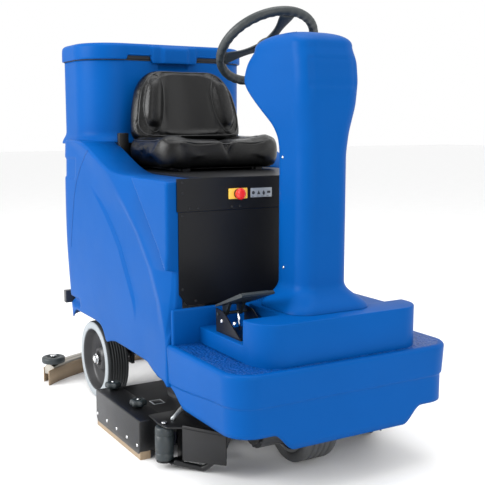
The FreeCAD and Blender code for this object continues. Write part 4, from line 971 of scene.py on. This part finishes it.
# ---- Controls ----------------------------------------------------------------------------------
# On the black steel strip under the seat: an emergency stop on a yellow plate, and a printed metal
# plate with four plain signs. The strip and the panel below are held by small black screws.
warn_yellow = finish("warn_yellow", (0.93, 0.56, 0.07), 0.38, drift=0.03, grain_depth=0.0001)
stop_red = finish("stop_red", (0.82, 0.022, 0.012), 0.28, drift=0.03, coat=0.4, grain_depth=0.00005)
plate_light = finish("plate_light", (0.42, 0.45, 0.47), 0.35, metallic=0.35, drift=0.04, grain_depth=0.0001)
sign_ink = finish("sign_ink", (0.03, 0.032, 0.036), 0.5)
black_screw = finish("black_screw", (0.025, 0.026, 0.028), 0.35, metallic=0.7)
stop_plate = block("stop_plate", (-0.184, 0.417, 0.836), (-0.116, 0.4238, 0.870), [warn_yellow], 0.0025)
fit(stop_plate, "chassis", "yellow", "estop_base")
stop_button = lathe("stop_button", (-0.150, along(0.4165), 0.853), (0, -1, 0),
                    [(0.0062, 0.0), (0.0062, 0.0115), (0.0085, 0.0120), (0.0090, 0.0165), (0.0110, 0.0182),
                     (0.0150, 0.0182), (0.0180, 0.0170), (0.0205, 0.0130), (0.0215, 0.0080), (0.0218, 0)],
                    [stop_red], 56, body="estop", slot="red")
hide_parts("estop_button")
lathe("stop_collar", (-0.150, along(0.4172), 0.853), (0, -1, 0),
      [(0.0, 0.0135), (0.0, 0.0160), (0.0014, 0.0158), (0.0020, 0.0150), (0.0020, 0.0135), (0.0, 0.0135)],
      [black_screw], 48, body="chassis", slot="black_plastic")
sign_plate = block("sign_plate", (-0.102, 0.4222, 0.838), (-0.022, 0.4238, 0.868), [plate_light], 0.0006)
fit(sign_plate, "chassis", "light_plate", "indicator_plate")


def flat_sign(name, corners, thick=0.0004):
    """Printed sign on the metal plate: a flat shape given by its corners in X and Z, anticlockwise as
    the operator in front of the plate sees it."""
    corners = np.array(corners, float)
    n = len(corners)
    front = np.stack([corners[:, 0], np.full(n, along(0.4222 - thick)), corners[:, 1]], -1)
    faces = [list(range(n))] + [[k, k + n, (k + 1) % n + n, (k + 1) % n] for k in range(n)]
    faces.append(list(range(n, 2 * n))[::-1])
    sign = mesh_piece(name, np.concatenate([front, front + (0, thick * 0.9, 0)]), faces, [sign_ink], False)
    outwards(sign)
    fit(sign, "chassis", "black_plastic")


angle = np.linspace(0, 2 * math.pi, 20, endpoint=False)
flat_sign("sign_disc", np.stack([-0.092 + 0.0055 * np.cos(angle), 0.853 + 0.0055 * np.sin(angle)], -1))
flat_sign("sign_wedge", [(-0.078, 0.847), (-0.066, 0.847), (-0.072, 0.860)])
flat_sign("sign_drop", np.stack([-0.053 + 0.0045 * np.cos(angle) * (1 - 0.6 * np.maximum(0, np.sin(angle))),
                                 0.852 + 0.0075 * np.sin(angle)], -1))
flat_sign("sign_bar", [(-0.040, 0.850), (-0.028, 0.850), (-0.028, 0.857), (-0.040, 0.857)])
for k in range(5):
    flat_sign("sign_rule_" + str(k), [(-0.098 + k * 0.0185, 0.8405), (-0.090 + k * 0.0185, 0.8405),
                                      (-0.090 + k * 0.0185, 0.8418), (-0.098 + k * 0.0185, 0.8418)])
for k, (x, z) in enumerate([(-0.320, 0.812), (-0.290, 0.812), (-0.170, 0.812), (-0.140, 0.812),
                            (0.140, 0.812), (0.170, 0.812), (-0.345, 0.860), (-0.345, 0.893),
                            (0.190, 0.893)]):
    screw = dome_screw("panel_screw_" + str(k), (x, along(0.4238), z), (0, -1, 0), 0.0042, "chassis",
                       "black_steel", black_screw)
    if k == 0:
        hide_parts("panel_screws")
for k, (x, z) in enumerate([(-0.345, 0.790), (-0.345, 0.560), (0.195, 0.790), (-0.300, 0.520)]):
    dome_screw("door_screw_" + str(k), (x, along(0.4258), z), (0, -1, 0), 0.0042, "chassis", "black_steel",
               black_screw)


# ---- Rear wheels -------------------------------------------------------------------------------
# Solid rubber tyres with a grooved dark tread, on black pressed steel dishes. The outer sidewall is the
# same rubber in a pale tone, painted light.
# A bright nut and washer hold each on the axle's end.
tread_rubber = finish("tread_rubber", (0.026, 0.029, 0.031), 0.62, drift=0.2, grain_depth=0.0004)
# Pale copy of the tyre rubber for the outer sidewall: painted light where the sidewall catches the lamps.
sidewall_painted_light = finish("sidewall_painted_light", (0.33, 0.36, 0.38), 0.55, drift=0.08, grain_depth=0.0003)
dish_black = finish("dish_black", (0.018, 0.018, 0.020), 0.40, drift=0.15)
chrome = finish("chrome", (0.62, 0.63, 0.64), 0.16, metallic=1.0, drift=0.03, grain_depth=0.00004)
axle_s, axle_z = 1.200, 0.1525
tread = []
for k in range(7):
    a = -0.036 + k * 0.0103
    tread += [(a, 0.1515), (a + 0.0072, 0.1515), (a + 0.0077, 0.1470), (a + 0.0098, 0.1470)]
tread = tread[:-2]
for label, side in both_sides:
    middle = (side * 0.313, along(axle_s), axle_z)
    tyre = lathe("tyre_" + label, middle, (side, 0, 0),
                 [(-0.044, 0.1222), (-0.044, 0.140), (-0.041, 0.148), *tread, (0.0400, 0.1490),
                  (0.0430, 0.1465), (0.0430, 0.1222), (-0.044, 0.1222)], [tread_rubber], 96,
                 body="rear_wheel_" + label, slot="tyre")
    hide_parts("rear_tyre_" + label)
    lathe("tyre_sidewall_" + label, middle, (side, 0, 0),
          [(0.0405, 0.1218), (0.0405, 0.1484), (0.0440, 0.1470), (0.0450, 0.1400), (0.0450, 0.1280),
           (0.0440, 0.1200), (0.0405, 0.1218)], [sidewall_painted_light], 96, body="rear_wheel_" + label, slot="tyre")
    dish = lathe("wheel_dish_" + label, middle, (side, 0, 0),
                 [(-0.040, 0.030), (-0.040, 0.060), (-0.040, 0.1216), (0.0410, 0.1216), (0.0425, 0.1195),
                  (0.0390, 0.1165), (0.0150, 0.1120), (0.0080, 0.1040), (0.0040, 0.0720), (0.0060, 0.0560),
                  (0.0120, 0.0480), (0.0240, 0.0420), (0.0265, 0.0360), (0.0270, 0.0272), (-0.036, 0.0272),
                  (-0.040, 0.030)], [dish_black], 72, body="rear_wheel_" + label, slot="black_steel")
    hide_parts("rear_hub_" + label)
    lathe("axle_washer_" + label, (side * 0.3462, along(axle_s), axle_z), (side, 0, 0),
          [(0, 0), (0, 0.0215), (0.0022, 0.0215), (0.0028, 0.019), (0.0028, 0)], [chrome], 40,
          body="rear_wheel_" + label, slot="bright_steel")
    lathe("axle_nut_" + label, (side * 0.3490, along(axle_s), axle_z), (side, 0, 0),
          [(0, 0), (0, 0.0150), (0.0075, 0.0150), (0.0090, 0.0130), (0.0090, 0.0075), (0.0120, 0.0065),
           (0.0125, 0)], [chrome], 36, lambda angle, along_axis: 1 + np.where(along_axis < 0.0085, 1, 0)
          * (0.075 * np.abs(np.cos(3 * angle)) - 0.03), "rear_wheel_" + label, "bright_steel")


# ---- Front wheel and drive ---------------------------------------------------------------------
# One driven and steered wheel under the nose: a grey polyurethane tyre on a cast hub, held in a welded
# steel fork with the motor on its right.
drive_rubber = finish("drive_rubber", (0.060, 0.062, 0.064), 0.60, drift=0.15, grain_depth=0.0004)
ribs = []
for k in range(5):
    a = -0.048 + k * 0.0205
    ribs += [(a, 0.1240), (a + 0.0150, 0.1240), (a + 0.0160, 0.1195), (a + 0.0195, 0.1195)]
front_tyre = lathe("drive_tyre", (0, along(0.270), 0.125), (-1, 0, 0),
                   [(-0.0585, 0.0925), (-0.0585, 0.114), (-0.055, 0.1215), *ribs[:-2], (0.0520, 0.1235),
                    (0.055, 0.1215), (0.0585, 0.114), (0.0585, 0.0925), (-0.0585, 0.0925)],
                   [drive_rubber], 96, body="front_wheel", slot="drive_tyre")
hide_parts("front_tyre")


# ---- Scrub deck --------------------------------------------------------------------------------
# Black painted steel deck. Each side has a box of folded sheet with rounded lower corners, fastened by
# five bright screws and set by two lobed knobs, and a gum blade shows under it.
steel_black = finish("steel_black", (0.0070, 0.0073, 0.0083), 0.34, drift=0.18, grain_scale=300.0,
                     grain_depth=0.0003, specular=0.35)
knob_plastic = finish("knob_plastic", (0.018, 0.025, 0.028), 0.42)


def side_sheet(name, profile, low_x, high_x, materials, radius):
    """Prism along X of a shape given as (station, z) corners, with rounded edges."""
    rows = [[(x, along(s), z) for s, z in profile] for x in (low_x, high_x)]
    made = mesh_piece(name, rows, capped_faces(2, len(profile)), materials)
    outwards(made)
    round_edges(made, radius, 3, 50)
    return made


knob_x, roller_x, roller_s = 0.4105, 0.417, 0.420
half_roller = [(-0.0540, 0.0250), (-0.0510, 0.0288), (-0.0300, 0.0298), (-0.0290, 0.0285), (-0.0270, 0.0285),
               (-0.0260, 0.0298)]
bend = np.radians(np.arange(0, 91, 10))
box_profile = [(0.895, 0.131), (0.505, 0.131)]
box_profile += [(0.505 + 0.022 * (1 - math.cos(a)), 0.038 - 0.022 * math.sin(a)) for a in bend]
box_profile += [(0.873 + 0.022 * math.sin(a), 0.016 + 0.022 * (1 - math.cos(a))) for a in bend]
for label, side in both_sides:
    x = sorted((side * 0.372, side * 0.4648))
    side_box = side_sheet("deck_side_" + label, box_profile, *x, [steel_black], 0.004)
    fit(side_box, "deck", "black_steel", "side_box_" + label)
    for k, s in enumerate((0.880, 0.790, 0.700, 0.610, 0.525)):
        screw = dome_screw(f"side_screw_{label}_{k}", (side * 0.4648, along(s), 0.046), (side, 0, 0), 0.0055,
                           "deck")
        if label == "right" and k == 0:
            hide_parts("side_screws")
    for place, s in (("front", 0.637), ("rear", 0.864)):
        body = place + "_knob_" + label
        knob = lathe("knob_" + place + "_" + label, (side * knob_x, along(s), 0.1315), (0, 0, 1),
                     [(0, 0), (0, 0.012), (0.006, 0.014), (0.008, 0.0245), (0.011, 0.0270), (0.021, 0.0268),
                      (0.025, 0.0240), (0.0275, 0.0170), (0.0260, 0.0140), (0.0260, 0)], [knob_plastic], 80,
                     lambda angle, up: 1 + np.where(up > 0.007, 1, 0) * 0.09 * np.cos(6 * angle), body,
                     "black_plastic")
        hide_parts(body)
        lathe("knob_bolt_" + place + "_" + label, (side * knob_x, along(s), 0.1577), (0, 0, 1),
              [(0, 0), (0, 0.0062), (0.0020, 0.0062), (0.0036, 0.0040), (0.0040, 0)], [chrome], 20,
              body=body, slot="bright_steel")
    roller = lathe("guard_roller_piece_" + label, (side * roller_x, along(roller_s), 0.081), (0, 0, 1),
                   [(-0.0540, 0.0082), *half_roller, *[(-a, r) for a, r in half_roller[::-1]],
                    (0.0540, 0.0082), (-0.0540, 0.0082)], [knob_plastic], 56,
                   body="roller_" + label, slot="black_plastic")
    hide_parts("guard_roller_" + label)
    lathe("guard_bolt_" + label, (side * roller_x, along(roller_s), 0.1425), (0, 0, 1),
          [(0, 0), (0, 0.0085), (0.0050, 0.0085), (0.0062, 0.0070), (0.0062, 0)], [chrome], 24,
          lambda angle, up: 1 + 0.06 * np.abs(np.cos(3 * angle)), "deck", "bright_steel")
for label, side in both_sides:
    faces = [(0, 1, 2, 3), (3, 7, 6, 2), (7, 4, 5, 6), (4, 0, 1, 5), (0, 4, 7, 3), (1, 2, 6, 5)]
    corners = [(0.383, 0.362, 0.034), (0.300, 0.232, 0.046), (0.300, 0.232, 0.148), (0.383, 0.362, 0.148),
               (0.379, 0.366, 0.034), (0.295, 0.236, 0.046), (0.295, 0.236, 0.148), (0.379, 0.366, 0.148)]
    deflector = mesh_piece("guard_plate_" + label, [(side * x, along(s), z) for x, s, z in corners], faces,
                           [steel_black])
    outwards(deflector)
    round_edges(deflector, 0.0012, 2, 30)
    plan = [(0.431, 0.406), (0.424, 0.386), (0.383, 0.362), (0.300, 0.232), (0.262, 0.242), (0.330, 0.522),
            (0.425, 0.522), (0.431, 0.440)]
    arm_points = [(side * x, along(s), z) for z in (0.1365, 0.1420) for x, s in plan]
    cover = mesh_piece("guard_arm_" + label, arm_points, capped_faces(2, len(plan)), [steel_black])
    outwards(cover)
    round_edges(cover, 0.0015, 2, 30)
    hoop_line = curve_through([(side * 0.398, along(0.388), 0.024), (side * 0.380, along(0.372), 0.020),
                               (side * 0.345, along(0.340), 0.0145), (side * 0.325, along(0.318), 0.017),
                               (side * 0.300, along(0.268), 0.072), (side * 0.290, along(0.246), 0.118),
                               (side * 0.286, along(0.242), 0.137)], 40)
    hoop = tube("guard_hoop_" + label, hoop_line, 0.0095, [steel_black], 14)
    foot = lathe("guard_foot_" + label, (side * roller_x, along(roller_s), 0.0), (0, 0, 1),
                 [(0.0215, 0), (0.0215, 0.026), (0.0260, 0.026), (0.0260, 0)], [steel_black], 32)
    rib = block("guard_rib_" + label, (min(side * 0.414, side * 0.372), 0.380, 0.0205),
                (max(side * 0.414, side * 0.372), 0.424, 0.0245), [steel_black], 0.001)
    post = block("guard_post_" + label, (min(side * 0.372, side * 0.366), 0.384, 0.0220),
                 (max(side * 0.372, side * 0.366), 0.420, 0.1380), [steel_black], 0.001)
    leg = block("guard_leg_" + label, (min(side * 0.371, side * 0.340), 0.5150, 0.1265),
                (max(side * 0.371, side * 0.340), 0.5215, 0.1400), [steel_black], 0.001)
    pin = lathe("guard_pin_" + label, (side * roller_x, along(roller_s), 0.0), (0, 0, 1),
                [(0.022, 0), (0.022, 0.0058), (0.142, 0.0058), (0.142, 0)], [steel_black], 24)
    for piece in (deflector, cover, hoop, foot, rib, post, leg, pin):
        fit(piece, "deck", "black_steel")
    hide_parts("deck_guard_" + label)
sign = block("deck_sign", (-0.352, 0.640, 0.1282), (-0.310, 0.684, 0.1290), [plate_light], 0.0003)
sign_middle = block("deck_sign_middle", (-0.3475, 0.6445, 0.1285), (-0.3145, 0.6795, 0.1293), [steel_black],
                    0.0003)
fit(sign, "deck", "light_plate")
fit(sign_middle, "deck", "black_steel")
lever = tube("deck_lever", [(-0.383, along(0.435), 0.1450), (-0.366, along(0.443), 0.1535),
                            (-0.345, along(0.455), 0.163), (-0.323, along(0.466), 0.170)],
             [0.0065, 0.0060, 0.0065, 0.0080], [plate_light], 16)
fit(lever, "deck", "bright_steel")


# ---- Scrub brushes -----------------------------------------------------------------------------
# Two disc brushes: a polypropylene disc with a raised hub, drilled for tufts of stiff nylon bristle
# that flare a little towards the floor.
bristle = finish("bristle", (0.022, 0.030, 0.060), 0.55)
for label, side in both_sides:
    middle = np.array([side * 0.185, along(0.700), 0.0])
    disc = lathe("brush_disc_" + label, middle, (0, 0, 1),
                 [(0.046, 0), (0.046, 0.168), (0.048, 0.171), (0.058, 0.171), (0.060, 0.168), (0.060, 0.080),
                  (0.064, 0.060), (0.066, 0.0)], [knob_plastic], 96,
                 body="brush_" + label, slot="black_plastic")
    points, tuft_faces = [], []
    six = np.arange(6) * math.pi / 3
    for ring_radius, count in ((0.163, 84), (0.148, 76), (0.130, 66), (0.108, 54)):
        for k in range(count):
            a = 2 * math.pi * (k + 0.5 * (ring_radius > 0.14)) / count
            ahead = np.array([math.cos(a), math.sin(a), 0])
            offset = len(points)
            for reach, z, thick in ((0, 0.048, 0.0032), (0.002, 0.024, 0.0038), (0.011, 0.0004, 0.0048)):
                ring = (ring_radius + reach) * ahead + (0, 0, z)
                points += [middle + ring + thick * np.array([math.cos(t), math.sin(t), 0]) for t in six]
            tuft_faces += [face[::-1] for face in capped_faces(3, 6, offset)]
    tufts = mesh_piece("brush_tufts_" + label, points, tuft_faces, [bristle], False)
    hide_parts("scrub_brush_" + label)
    fit(tufts, "brush_" + label, "bristle")


# ---- Squeegee ----------------------------------------------------------------------------------
# Curved cast aluminium head between two tan gum blades, which draws the water in behind the machine. A
# bumper wheel with a recessed top guards each end.
cast_metal = finish("cast_metal", (0.40, 0.375, 0.33), 0.30, metallic=1.0, drift=0.06, grain_scale=260.0,
                    grain_depth=0.0006)
tan_gum = finish("tan_gum", (0.30, 0.22, 0.14), 0.50, drift=0.10, grain_depth=0.0003)
arc_middle, arc_outer, arc_inner = 0.890, 0.766, 0.718


def arc_piece(name, section, half_width, materials, count=120):
    """Closed bar bent to the squeegee's arc. The section is a ring of (radius, z) pairs and each end
    stops where the outer side is half_width from the middle."""
    section = np.array(section, float)
    reach = math.asin(half_width / section[:, 0].max())
    turn = np.linspace(-reach, reach, count)[:, None]
    points = np.stack([section[:, 0] * np.sin(turn), along(arc_middle + section[:, 0] * np.cos(turn)),
                       section[:, 1] + 0 * turn], -1)
    made = mesh_piece(name, points, capped_faces(count, len(section)), materials)
    outwards(made)
    return made


head_side = [(0.006, 0.0345), (0.0005, 0.036), (0.0005, 0.064), (0.004, 0.070), (0.010, 0.072),
             (0.014, 0.0775)]
head_section = [(arc_outer - inset, z) for inset, z in head_side]
head_section += [(arc_inner + inset, z) for inset, z in head_side[::-1]]
squeegee_head = arc_piece("squeegee_head", head_section, 0.468, [cast_metal])
round_edges(squeegee_head, 0.002, 2, 25)
fit(squeegee_head, "squeegee", "cast_grey", "squeegee_body")
lathe("squeegee_port", (0, along(1.628), 0.0), (0, 0, 1),
      [(0.074, 0.023), (0.074, 0.031), (0.116, 0.031), (0.119, 0.0285), (0.146, 0.0280), (0.147, 0.0292),
       (0.153, 0.0292), (0.158, 0.0270), (0.158, 0.023), (0.074, 0.023)], [cast_metal], 48,
      body="squeegee", slot="cast_grey")
for name, low, high in (("front", arc_inner - 0.004, arc_inner), ("rear", arc_outer, arc_outer + 0.004)):
    section = [(low, 0.0004), (high, 0.0004), (high, 0.0615), (low, 0.0615)]
    blade = arc_piece("squeegee_blade_" + name, section, 0.4715, [tan_gum], 160)
    fit(blade, "squeegee", "gum")
    if name == "rear":
        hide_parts("squeegee_blades")
bumper_x, bumper_s = 0.430, 1.490
strap_low, strap_high = arc_outer + 0.0042, arc_outer + 0.0062
strap = arc_piece("squeegee_strap", [(strap_low, 0.045), (strap_high, 0.045), (strap_high, 0.058),
                                     (strap_low, 0.058)], 0.4550, [chrome])
fit(strap, "squeegee", "bright_steel")
for label, side in both_sides:
    wheel = lathe("bumper_" + label, (side * bumper_x, along(bumper_s), 0.0), (0, 0, 1),
                  [(0.0788, 0.0085), (0.0788, 0.0400), (0.0810, 0.0455), (0.0850, 0.0478), (0.0990, 0.0478),
                   (0.1030, 0.0455), (0.1050, 0.0400), (0.1050, 0.0280), (0.1000, 0.0260), (0.0990, 0.0160),
                   (0.1000, 0.0085), (0.0788, 0.0085)], [knob_plastic], 64,
                  body="bumper_wheel_" + label, slot="black_plastic")
    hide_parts("bumper_wheel_" + label)
    lathe("bumper_pin_" + label, (side * bumper_x, along(bumper_s), 0.0), (0, 0, 1),
          [(0.072, 0), (0.072, 0.0068), (0.1055, 0.0068), (0.1055, 0.0135), (0.1100, 0.0135),
           (0.1115, 0.0115), (0.1115, 0)], [chrome], 32, lambda angle, up: 1 + np.where(up > 0.1056, 1, 0)
          * (0.06 * np.abs(np.cos(3 * angle)) - 0.02), "squeegee", "bright_steel")


# ---- Pedal -------------------------------------------------------------------------------------
# Accelerator pedal: a hinged plate with a ribbed rubber face, in a black folded bracket that two
# bright screws hold. A short chromed rod works the sender.
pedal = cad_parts["accelerator_pedal"]
pad_front, pad_rear = np.array([0, along(0.184), 0.5785]), np.array([0, along(0.322), 0.5245])
pad_out = np.array([0, 0.363, 0.932])
for k, t in enumerate(np.linspace(0.04, 0.96, 9)):
    middle = pad_front * (1 - t) + pad_rear * t + pad_out * 0.05
    line = [middle + (x, 0, 0) for x in np.linspace(-0.268, -0.180, 8)]
    rib_line = near_surface(pedal, line, tuple(-pad_out), -0.0006)
    if len(rib_line) > 3:
        rib = tube("pedal_rib_" + str(k), rib_line, 0.0022, [grip_rubber], 8)
        fit(rib, "pedal", "black_plastic")
for k, (s, z) in enumerate([(0.222, 0.486), (0.300, 0.478)]):
    dome_screw("pedal_screw_" + str(k), (-0.2762, along(s), z), (-1, 0, 0), 0.0062, "chassis")
rod = tube("pedal_rod", [(-0.252, along(s), z) for s, z in ((0.230, 0.462), (0.235, 0.490), (0.240, 0.518))],
           0.0036, [chrome], 14)
fit(rod, "chassis", "bright_steel")


# ---- What the frame shows itself ----------------------------------------------------------------
# Flat sheet parts, motors, shafts and the inside of the machine keep their plain shape and are given
# the finish of what they are made of.
frame_paint = finish("frame_paint", (0.030, 0.031, 0.034), 0.45, drift=0.2, grain_scale=200.0,
                     grain_depth=0.0004)
plain_steel = finish("plain_steel", (0.42, 0.42, 0.43), 0.28, metallic=1.0, drift=0.06, grain_scale=300.0)
cast_iron = finish("cast_iron", (0.16, 0.165, 0.17), 0.5, metallic=0.4, drift=0.15, grain_scale=150.0,
                   grain_depth=0.0008)
motor_grey = finish("motor_grey", (0.040, 0.042, 0.046), 0.42, drift=0.15, grain_scale=200.0)
battery_black = finish("battery_black", (0.020, 0.021, 0.024), 0.5, drift=0.1)
seal_black = finish("seal_black", (0.012, 0.012, 0.013), 0.7)
plain = {
    moulded_blue: ["column_back_cover"],
    frame_paint: ["main_frame", "steering_mast", "steer_fork"],
    black_panel: ["seat_plate", "control_strip", "access_panel", "lid_hinges"],
    steel_black: ["seat_pan", "pedal_bracket", "deck_plate", "lift_arms", "lift_links", "squeegee_arm"],
    tan_gum: ["deck_blades"],
    motor_grey: ["brush_motors", "vacuum_motor", "drive_motor"],
    battery_black: ["battery_pack"],
    seal_black: ["lid_gasket"],
    plain_steel: ["steering_shaft", "upright_shaft", "steering_chain", "rear_axle"],
    cast_iron: ["front_hub"],
    grip_rubber: ["accelerator_pedal"],
}
for made, names in plain.items():
    for name in names:
        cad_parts[name].data.materials.clear()
        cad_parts[name].data.materials.append(made)
